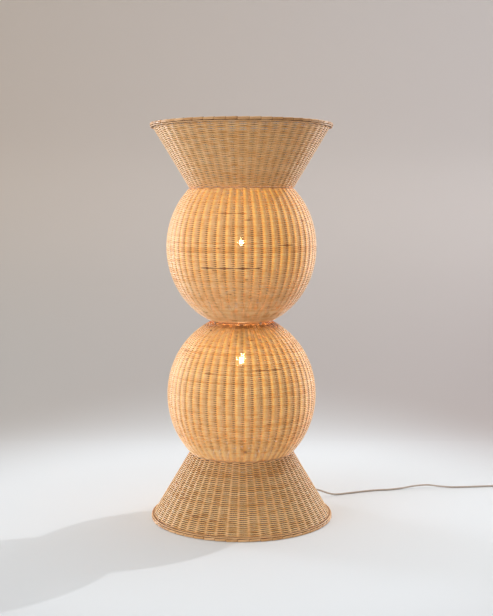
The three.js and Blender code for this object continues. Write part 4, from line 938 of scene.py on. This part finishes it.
# Stakes to a hoop's cane, and steps of tone from cane to cane and hoop to hoop
CANE_STAKES, CANE_STEP, HOOP_STEP = 9, 0.61803, 0.37
border_cane = cane("border cane", (0.90, 0.55, 0.27), (0.74, 0.39, 0.145), (0.42, 0.17, 0.05),
                   glow_strength=0.0)


def bent_pairs(name, radius, height, upward, seed):
    """Canes laid side by side in pairs, one pair to a stake. A pair comes out of
    the roll next to the weave, lies on the roll's outside for one step while it
    drifts away from the weave, and goes back in."""
    maker = np.random.default_rng(seed)
    step = np.linspace(-PAIR_REACH, PAIR_REACH, PAIR_RINGS)
    inward = swell(np.abs(step), *PAIR_TUCKS)
    first = FIRST_STAKE + STAKE_STEP * np.repeat(np.arange(STAKES), 2)[:, None]
    turn = first + upward * step * STAKE_STEP
    aside = np.tile([-1.0, 1.0], STAKES)[:, None] * BORDER_CANE * PAIR_APART
    uneven = PAIR_UNEVEN * maker.normal(size=(2 * STAKES, 1))
    out = radius + BORDER_WIDE - BORDER_CANE - TUCK_DEPTH * inward + uneven
    up = height + upward * (PAIR_OFFSET + PAIR_DRIFT * step + aside + 0.5 * uneven)
    path = np.stack([out * np.cos(turn), out * np.sin(turn), up], -1)
    ahead = unit(np.gradient(path, axis=1))
    away = np.stack([np.cos(turn), np.sin(turn), 0 * turn], -1)
    away = unit(away - (away * ahead).sum(-1, keepdims=True) * ahead)
    side = steps_round(8)[:, None]
    rings = path[:, :, None] + BORDER_CANE * (
        np.cos(side) * away[:, :, None] + np.sin(side) * np.cross(ahead, away)[:, :, None])
    tone = 0.05 + 0.5 * np.repeat(maker.random((STAKES, 1)), 2, axis=0)
    # Painted shade where the pair goes in
    return skin(name, "lamp", rings, start=3 * maker.random(2 * STAKES), sharp=60,
                tone=tone, glow=0.0, recess=swell(inward, 0.1, 0.6))


def plain_hoops(name, places, seed):
    """Hoops of cane, each at a radius and height with a thickness and a share of
    painted shade. They are a little uneven, and a cane ends at every ninth stake."""
    maker = np.random.default_rng(seed)
    turn = steps_round(8 * STAKES)[None]
    radius, height, wide, dark = (np.array(places)[:, index, None] for index in range(4))
    phase = FULL_TURN * maker.random((len(places), 1))
    uneven = HOOP_RIPPLE * np.cos(STAKES * (turn - FIRST_STAKE))
    uneven = uneven + HOOP_BEND * np.sin(HOOP_BENDS * turn + phase)
    side = steps_round(8)
    out = (radius + uneven)[..., None] + wide[..., None] * np.cos(side)
    up = (height + uneven)[..., None] + wide[..., None] * np.sin(side)
    rings = np.stack([out * np.cos(turn[..., None]), out * np.sin(turn[..., None]), up], -1)
    order = (np.floor(STAKES * turn / CANE_STAKES) * CANE_STEP
             + np.arange(len(places))[:, None] * HOOP_STEP)
    return skin(name, "lamp", rings, closed=True, start=3 * maker.random(len(places)), sharp=180,
                tone=0.10 + 0.25 * (order % 1.0), glow=0.0, recess=dark)


for end, node_name, radius, height, upward in (
        ("foot", "base_border", BASE_RADIUS - BORDER_WIDE, BORDER_HIGH, -1),
        ("rim", "top_border", RIM_RADIUS - BORDER_WIDE, TOP - BORDER_HIGH, 1)):
    # The last number of each hoop is its share of painted shade
    hoops = [(radius + out, height + up * upward, wide, dark) for out, up, wide, dark in (
        (0.0036, -0.0046, 0.0016, 0), (-0.0040, 0, 0.0020, 0), (-0.0030, 0.0032, 0.0020, 0),
        (0, 0.0008, 0.0042, 1), (-0.0026, -0.0044, 0.0022, 1))]
    for part in (bent_pairs(f"{end}_border_pairs", radius, height, upward, seed=3 + upward),
                 plain_hoops(f"{end}_border_hoops", hoops, seed=7)):
        coat(part, border_cane, "cane", node_name)
# The last number of each crease hoop is its share of painted shade
for title, section, level, radius, wide, dark in (
        ("lower_neck", "lower_globe_foot", LOWER_NECK + 0.0006, NECK_RADIUS - 0.0030, 0.0025, 0.25),
        ("waist", "lower_globe_crown", WAIST - 0.0004, WAIST_RADIUS - 0.0024, 0.0017, 0.7),
        ("upper_neck", "upper_globe_crown", UPPER_NECK - 0.0008, NECK_RADIUS - 0.0030, 0.0018, 0.25)):
    crease = plain_hoops(f"{title}_crease_hoop", [(radius, level, wide, dark)], seed=9)
    coat(crease, border_cane, "cane", f"{section}_weave")

# Free lead: the textile lead leaves the rubber sleeve, drops to the floor and
# runs along it to the foot switch. It is one piece, and lies as it was pulled.
# Its points are given in millimetres.
lead_route = np.array([
    (215.85, 168.32, 30), (231, 178.5, 28.4), (249, 187, 21.5), (269, 196.5, 12),
    (287, 204.5, 5.8), (305, 212, 3.4), (345, 229, 2.9), (385, 246, 2.9), (430, 262, 2.9),
    (475, 270, 2.9), (520, 284, 4), (564, 297, 8), (605, 303.5, 9), (645, 302, 5),
    (685, 300, 3.1), (730, 303.5, 2.9), (780, 310, 2.9), (825, 315, 2.9), (858, 312, 2.9),
    (884, 297, 3.2), (896, 272, 4.8), (897, 256, 5.6), (897, 246, 5.6)]) / 1000
lead_path = smooth_path(lead_route, spacing=0.006)
lead_rings = round_wire(lead_path, CORD / 2, sides=12, aside=UP)
free_lead = skin("free_lead", "lamp", lead_rings, sharp=180)
coat(free_lead, textile, "flex", "lead_to_switch")

# Foot switch: a pale moulded tray and cover held by two screws from below. A
# round button in the cover works the contacts, and a ribbed rubber relief
# guards the lead at each end.
SWITCH_X = 0.897
SWITCH_PLACE = (SWITCH_X, 0.1814, 0)
SWITCH_LONG, SWITCH_WIDE, SWITCH_CORNER = 0.084, 0.034, 0.010
BUTTON_BORE = 0.0125
moulding = finish("pale moulding", (0.66, 0.60, 0.52), (0.55, 0.49, 0.42),
                  patch=50, grain=1400, smooth=0.32, rough=0.5, bump=0.08)


def oblong(length, width, corner, inset, points=96):
    """Points round a rectangle with rounded corners, less an inset: each corner's
    quarter circle has an equal share of them."""
    half_long, half_wide = length / 2 - corner, width / 2 - corner
    share = np.arange(points) / points * 4
    quarter = np.floor(share).astype(int)
    angle = (quarter + (share - quarter) * points / (points - 4)) * math.pi / 2
    centre = np.array([(half_long, half_wide), (-half_long, half_wide),
                       (-half_long, -half_wide), (half_long, -half_wide)])[quarter]
    return centre + (corner - inset) * np.stack([np.cos(angle), np.sin(angle)], axis=1)


def shell_rings(levels):
    """Rings of a moulding: each level gives an inset of the outline and a height.
    Round the button it also gives how far the outline has turned into a circle
    and that circle's radius."""
    rings = []
    for inset, height, *bore in levels:
        share, radius = bore or (0, 0)
        edge = oblong(SWITCH_LONG, SWITCH_WIDE, SWITCH_CORNER, inset)
        flat = (1 - share) * edge + share * radius * unit(edge)
        rings.append(np.column_stack([flat, np.full(len(flat), height)]))
    return np.array(rings)


def on_floor(points, ahead, place):
    """The points drawn along the first axis, turned so that it lies along a
    direction on the floor."""
    across = (-ahead[1], ahead[0], 0)
    return points @ np.array([ahead, across, UP], float) + np.asarray(place, float)


tray_rings = shell_rings([
    (0.0015, 0), (0.0006, 0.0003), (0, 0.0012), (0, 0.0088), (0.0003, 0.009),
    (0.0018, 0.009), (0.002, 0.0088), (0.002, 0.0022), (0.0024, 0.002)])
cover_rings = shell_rings([
    (0.002, 0.0093), (0.0003, 0.0093), (0, 0.0096), (0, 0.0193), (0.0004, 0.0209), (0.0013, 0.0219),
    (0.0026, 0.0223), (0.0026, 0.0223, 0.5, BUTTON_BORE), (0, 0.0223, 1, BUTTON_BORE),
    (0, 0.0219, 1, 0.0115), (0, 0.0213, 1, 0.0113), (0, 0.0205, 1, 0.0113), (0, 0.0203, 1, 0.0115),
    (0.0026, 0.0203, 0.4, BUTTON_BORE), (0.0026, 0.0203), (0.002, 0.0197)])
button_outline = soften([(0.002, 0.0182), (0.0126, 0.0182), (0.0126, 0.020), (0.011, 0.020),
                         (0.011, 0.0258), (0.0095, 0.0273), (0.0072, 0.0270), (0.002, 0.0268)],
                        reach=0.0006)
relief_outline = np.vstack([[(0.0042, 0), (0.0050, 0.0006)],
                            ribbed(0.0050, 0.0037, length=0.0205, ribs=6, depth=0.0008)
                            + np.array([0, 0.0009]),
                            [(0.0033, 0.022)]])
switch_pieces, coil_pieces = [], []
for title, node_name, body, rings, closed in (
        ("switch_base", "switch_tray", "lamp", tray_rings, False),
        ("switch_top", "switch_cover", "lamp", cover_rings, True),
        ("foot_press_button", "switch_button", "foot_button", lathe(button_outline), False)):
    piece = skin(title, body, on_floor(rings, (0, -1, 0), SWITCH_PLACE), closed=closed, sharp=40)
    coat(piece, moulding, "switch_moulding", node_name)
    switch_pieces.append(piece)
for number, ahead, start, pieces in ((1, (0, 1, 0), 0.2237, switch_pieces),
                                     (2, (0, -1, 0), 0.1391, coil_pieces)):
    rings = laid(lathe(relief_outline, sides=32), ahead, UP, (SWITCH_X, start, 0.0056))
    relief = skin(f"switch_cord_relief_{number}", "lamp", rings, sharp=50)
    coat(relief, rubber, "rubber", f"switch_relief_{number}")
    pieces.append(relief)
coat(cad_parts["switch_core"], glazed, "ceramic")
for number in (1, 2):
    coat(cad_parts[f"switch_screw_{number}"], zinc, "plated_steel")
switch_pieces += [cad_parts[name]
                  for name in ("switch_core", "switch_screw_1", "switch_screw_2")]

# Spare lead: the rest of the lead is wound into a coil of six and a half turns
# on the floor beside the switch, and a nylon strap holds it. It ends in a
# moulded plug with two pins.
COIL_PLACE = np.array([0.927, 0.060, 0])
COIL_STEP = 5.5
# The coil's sizes and the points of the lead's two ends are in millimetres
winding = np.linspace(190, 2520, 640)


def steps_at(*turns):
    """How many smooth steps of a quarter turn the coil has made, each of which
    starts at one of these turns, in degrees."""
    return sum(swell(winding, turn, turn + 90) for turn in turns)


coil_radius = 35.5 - COIL_STEP * (steps_at(850, 1210) - steps_at(2220))
coil_height = 4.05 + COIL_STEP * (steps_at(225, 585) - steps_at(1535, 1895))
winding_turn = np.radians(winding)
coil_points = COIL_PLACE + np.stack([coil_radius * np.cos(winding_turn),
                                     coil_radius * np.sin(winding_turn), coil_height], axis=1) / 1000
lead_in = np.array([(897, 116.8, 5.6), (897, 108, 5.3), (897, 98, 4.3), (896.6, 87.2, 4.1),
                    (894.5, 74, 4.1), (892, 64, 4.1)]) / 1000
lead_out = np.array([(957, 74, 4.1), (957, 87.2, 4.1), (957, 98, 4.4), (957, 109, 6.3),
                     (957, 119, 7)]) / 1000
spare_path = smooth_path(np.vstack([lead_in, coil_points[::8], lead_out]), spacing=0.0025)
spare_rings = round_wire(spare_path, CORD / 2, sides=10, aside=UP)
spare_lead = skin("spare_lead", "lamp", spare_rings, sharp=180)
coat(spare_lead, textile, "flex", "lead_to_coil", "lead_coil", "lead_to_plug")

# The strap is an oblong band, and eight points round it make its flat section
band_outline = oblong(0.01888, 0.0181, corner=0.0019, inset=0, points=64)
band_ahead = unit(np.roll(band_outline, -1, axis=0) - np.roll(band_outline, 1, axis=0))
band_away = np.stack([band_ahead[:, 1], -band_ahead[:, 0]], axis=1)
band_across = np.array([-0.005, -0.0046, 0, 0.0046, 0.005, 0.0046, 0, -0.0046])
band_thick = np.array([0, 0.0005, 0.0005, 0.0005, 0, -0.0005, -0.0005, -0.0005])
flat = band_outline[:, None] + band_thick[None, :, None] * band_away[:, None]
band_rings = np.stack([0 * flat[..., 0] + band_across, flat[..., 0], flat[..., 1]], axis=-1)
band_rings = band_rings + COIL_PLACE + np.array([0, -0.02971, 0.00955])
band = skin("coil_strap", "lamp", band_rings, closed=True, sharp=50)
coat(band, strap, "strap", "coil_tie")

PLUG_X = 0.957
PLUG_THICK = 0.014
PLUG_PLACE = (PLUG_X, 0.1416, PLUG_THICK / 2)
PLUG_LONG = 0.036
PLUG_EDGE = 0.0025
PLUG_SQUARE = 3.2
PLUG_ROUND = 0.002
PLUG_NARROW, PLUG_WIDER = 0.016, 0.019
PLUG_WIDENS = (0.001, 0.0175)
GRIP_PITCH = 0.0032
GRIP_DEEP = 0.0006
GRIP_MIDDLE = 0.0115
GRIP_FACES = 0.6
plug_way = np.concatenate([[0, 0.0004, 0.0012, PLUG_EDGE], np.linspace(0.004, 0.033, 30),
                           [0.0345, 0.0354, PLUG_LONG]])
from_end = np.clip(np.minimum(plug_way, PLUG_LONG - plug_way) / PLUG_EDGE, 0, 1)
plug_inset = PLUG_ROUND * (1 - np.sqrt(1 - (1 - from_end) ** 2))
plug_wide = PLUG_NARROW + PLUG_WIDER * swell(plug_way, *PLUG_WIDENS)
grip = GRIP_DEEP * np.maximum(0, np.sin(FULL_TURN * plug_way / GRIP_PITCH))
grip = grip * (np.abs(plug_way - GRIP_MIDDLE) < 2 * GRIP_PITCH)
plug_turn = steps_round(72)
corner = np.abs(np.cos(plug_turn)) ** PLUG_SQUARE + np.abs(np.sin(plug_turn)) ** PLUG_SQUARE
ring_across = np.cos(plug_turn) / corner ** (1 / PLUG_SQUARE)
ring_up = np.sin(plug_turn) / corner ** (1 / PLUG_SQUARE)
half_wide = (plug_wide / 2 - plug_inset)[:, None]
half_thick = (PLUG_THICK / 2 - plug_inset)[:, None] - grip[:, None] * (np.abs(ring_up) > GRIP_FACES)
plug_rings = np.stack([half_wide * ring_across, half_thick * ring_up,
                       plug_way[:, None] + 0 * ring_up], axis=-1)
plug = skin("plug_moulding", "lamp", laid(plug_rings, (0, 1, 0), (1, 0, 0), PLUG_PLACE), sharp=50)
coat(plug, moulding, "switch_moulding", "plug_body")
coil_pieces += [band, plug]
pin_outline = soften([(0.0008, 0.0003), (0.0019, 0.0003), (0.0019, 0.0255), (0.0009, 0.027)],
                     reach=0.0006)
collar_outline = soften([(0.0010, 0.0075), (0.00203, 0.0075), (0.00203, 0.0178), (0.0010, 0.0178)],
                        reach=0.0003)
for number, aside in ((1, 0.0095), (2, -0.0095)):
    pin_place = (PLUG_X + aside, 0.1696, PLUG_THICK / 2)
    for title, outline, material, slot_name in (
            ("contact_pin", pin_outline, zinc, "plated_steel"),
            ("pin_collar", collar_outline, moulding, "switch_moulding")):
        rings = laid(lathe(outline, sides=24), (0, 1, 0), (1, 0, 0), pin_place)
        pin = skin(f"plug_{title}_{number}", "lamp", rings, sharp=50)
        coat(pin, material, slot_name, f"plug_pin_{number}")
        coil_pieces.append(pin)
rings = laid(lathe(relief_outline, sides=32), (0, -1, 0), UP, (PLUG_X, 0.1413, PLUG_THICK / 2))
relief = skin("plug_cord_relief", "lamp", rings, sharp=50)
coat(relief, rubber, "rubber", "plug_relief")
coil_pieces.append(relief)

# Stage: a pale floor that fades into the colour of the wall all round the lamp,
# and a backdrop that sweeps up from it behind the lamp, as in a studio. Neither
# is part of the lamp. From behind, the backdrop can be seen and lit through.
# The wall's colour holds painted light and shade: darker low down, lighter high
# up, and high up lighter to the right.
bpy.context.scene.view_settings.view_transform = "Standard"
PAPER_WIDE = 9.0
SWEEP_START = 1.0
SWEEP_RADIUS = 1.4
FLOOR_COLOUR = (0.81, 0.85, 0.89, 1)
FLOOR_FADES = (0.72, 1.7)
WALL_FADES = (0.0, 1.25)
SHADED_LOW_WALL = ((0.50, 0.48, 0.465, 1), (0.49, 0.445, 0.445, 1))
LIT_HIGH_WALL = ((0.75, 0.66, 0.59, 1), (0.86, 0.80, 0.78, 1))
sweep_turn = np.linspace(0, math.pi / 2, 24)
cove = np.stack([SWEEP_START + SWEEP_RADIUS * np.sin(sweep_turn),
                 SWEEP_RADIUS - SWEEP_RADIUS * np.cos(sweep_turn)], axis=1)


def smooth_range(tree, value, low, high):
    """Zero where a value is below the first number, one above the second, and a
    smooth S between."""
    return node(tree, "ShaderNodeMapRange", {0: value, 1: low, 2: high},
                interpolation_type="SMOOTHSTEP").outputs[0]


for name, line in (
        ("studio_floor", np.array([(-PAPER_WIDE, 0.0), (PAPER_WIDE, 0.0)])),
        ("studio_backdrop", np.vstack([cove, [(SWEEP_START + SWEEP_RADIUS, PAPER_WIDE)]]))):
    count = len(line)
    side = np.repeat([-PAPER_WIDE, PAPER_WIDE], count)
    first = np.arange(count - 1)
    mesh = bpy.data.meshes.new(name)
    mesh.from_pydata(np.column_stack([side, np.concatenate([line, line])]).tolist(), [],
                     np.stack([first, first + count, first + count + 1, first + 1], axis=1).tolist())
    mesh.shade_smooth()
    sheet = bpy.data.objects.new(name, mesh)
    sheet.visible_shadow = name == "studio_floor"
    bpy.context.scene.collection.objects.link(sheet)
    paper, tree, shader = blank(name.replace("_", " "))
    mesh.materials.append(paper)
    where = object_place(tree)
    place = apart(tree, where)
    away = node(tree, "ShaderNodeVectorMath", {0: where}, operation="LENGTH").outputs["Value"]
    # Painted light and shade on the wall: lighter higher up and, high up, to the right
    right = sums(tree, "MULTIPLY_ADD", place["X"], 0.4, 0.5, clamp=True)
    wall = blend_colour(tree, smooth_range(tree, place["Z"], *WALL_FADES),
                        blend_colour(tree, right, *SHADED_LOW_WALL), blend_colour(tree, right, *LIT_HIGH_WALL))
    faded = smooth_range(tree, away, *FLOOR_FADES)
    feed(tree, shader, {"Base Color": blend_colour(tree, faded, FLOOR_COLOUR, wall),
                        "Roughness": 0.9, "Specular IOR Level": 0.2})
    if name == "studio_backdrop":
        through = node(tree, "ShaderNodeMixShader", {
            0: node(tree, "ShaderNodeNewGeometry").outputs["Backfacing"], 1: shader.outputs[0],
            2: node(tree, "ShaderNodeBsdfTransparent").outputs[0]})
        tree.links.new(through.outputs[0], tree.nodes["Material Output"].inputs["Surface"])

# Lights: soft light from above and all round, two low lights from behind and a
# fill from the front left. A small key lamp 7 m off on the back right casts the
# shadow, and a lamp in each bulb lights the weave from inside.
world = bpy.data.worlds.new("studio")
bpy.context.scene.world = world
world.use_nodes = True
tree = world.node_tree
light = feed(tree, tree.nodes["Background"], {"Color": (1.0, 0.96, 0.89, 1), "Strength": 0.27})
rays = node(tree, "ShaderNodeLightPath").outputs
seen = sums(tree, "ADD", rays["Is Camera Ray"], rays["Is Glossy Ray"])
seen = sums(tree, "ADD", seen, rays["Is Transmission Ray"], clamp=True)
walls = node(tree, "ShaderNodeBackground", {"Color": (0.50, 0.44, 0.40, 1), "Strength": 1.0})
shown = node(tree, "ShaderNodeMixShader", {0: seen, 1: light.outputs[0], 2: walls.outputs[0]})
tree.links.new(shown.outputs[0], tree.nodes["World Output"].inputs["Surface"])


def lamp(name, kind, power, colour):
    """A lamp in the scene, and its settings."""
    settings = bpy.data.lights.new(name, kind)
    settings.energy, settings.color = power, colour
    made = bpy.data.objects.new(name, settings)
    bpy.context.scene.collection.objects.link(made)
    return made, settings


for name, (x, y, z), power, spread, colour in (
        ("left", (-0.82, 0.56, 0.07), 2.2, 20, (0.90, 1.0, 1.13)),
        ("right", (0.74, 0.66, 0.08), 1.4, 20, (0.92, 1.0, 1.1)),
        ("front", (-0.78, -0.60, 0.20), 1.1, 40, (0.94, 1.0, 1.05)),
        ("above", (0.0, 0.05, 1.0), 1.25, 70, (1.0, 1.0, 0.98))):
    made, settings = lamp(name, "SUN", power, colour)
    settings.angle = math.radians(spread)
    made.rotation_euler = (math.atan2(math.hypot(x, y), z), 0, math.atan2(y, x) + math.pi / 2)
for name, place, power, colour, size in (
        ("key", (3.60, 2.95, 5.23), 400, (1.0, 1.0, 1.0), 0.05),
        ("lower_bulb_light", (0, 0, LOWER_BULB), 1.8, (1.0, 0.66, 0.36), 0.012),
        ("upper_bulb_light", (0, 0, UPPER_BULB), 1.8, (1.0, 0.66, 0.36), 0.012)):
    made, settings = lamp(name, "POINT", power, colour)
    settings.shadow_soft_size = size
    made.location = place
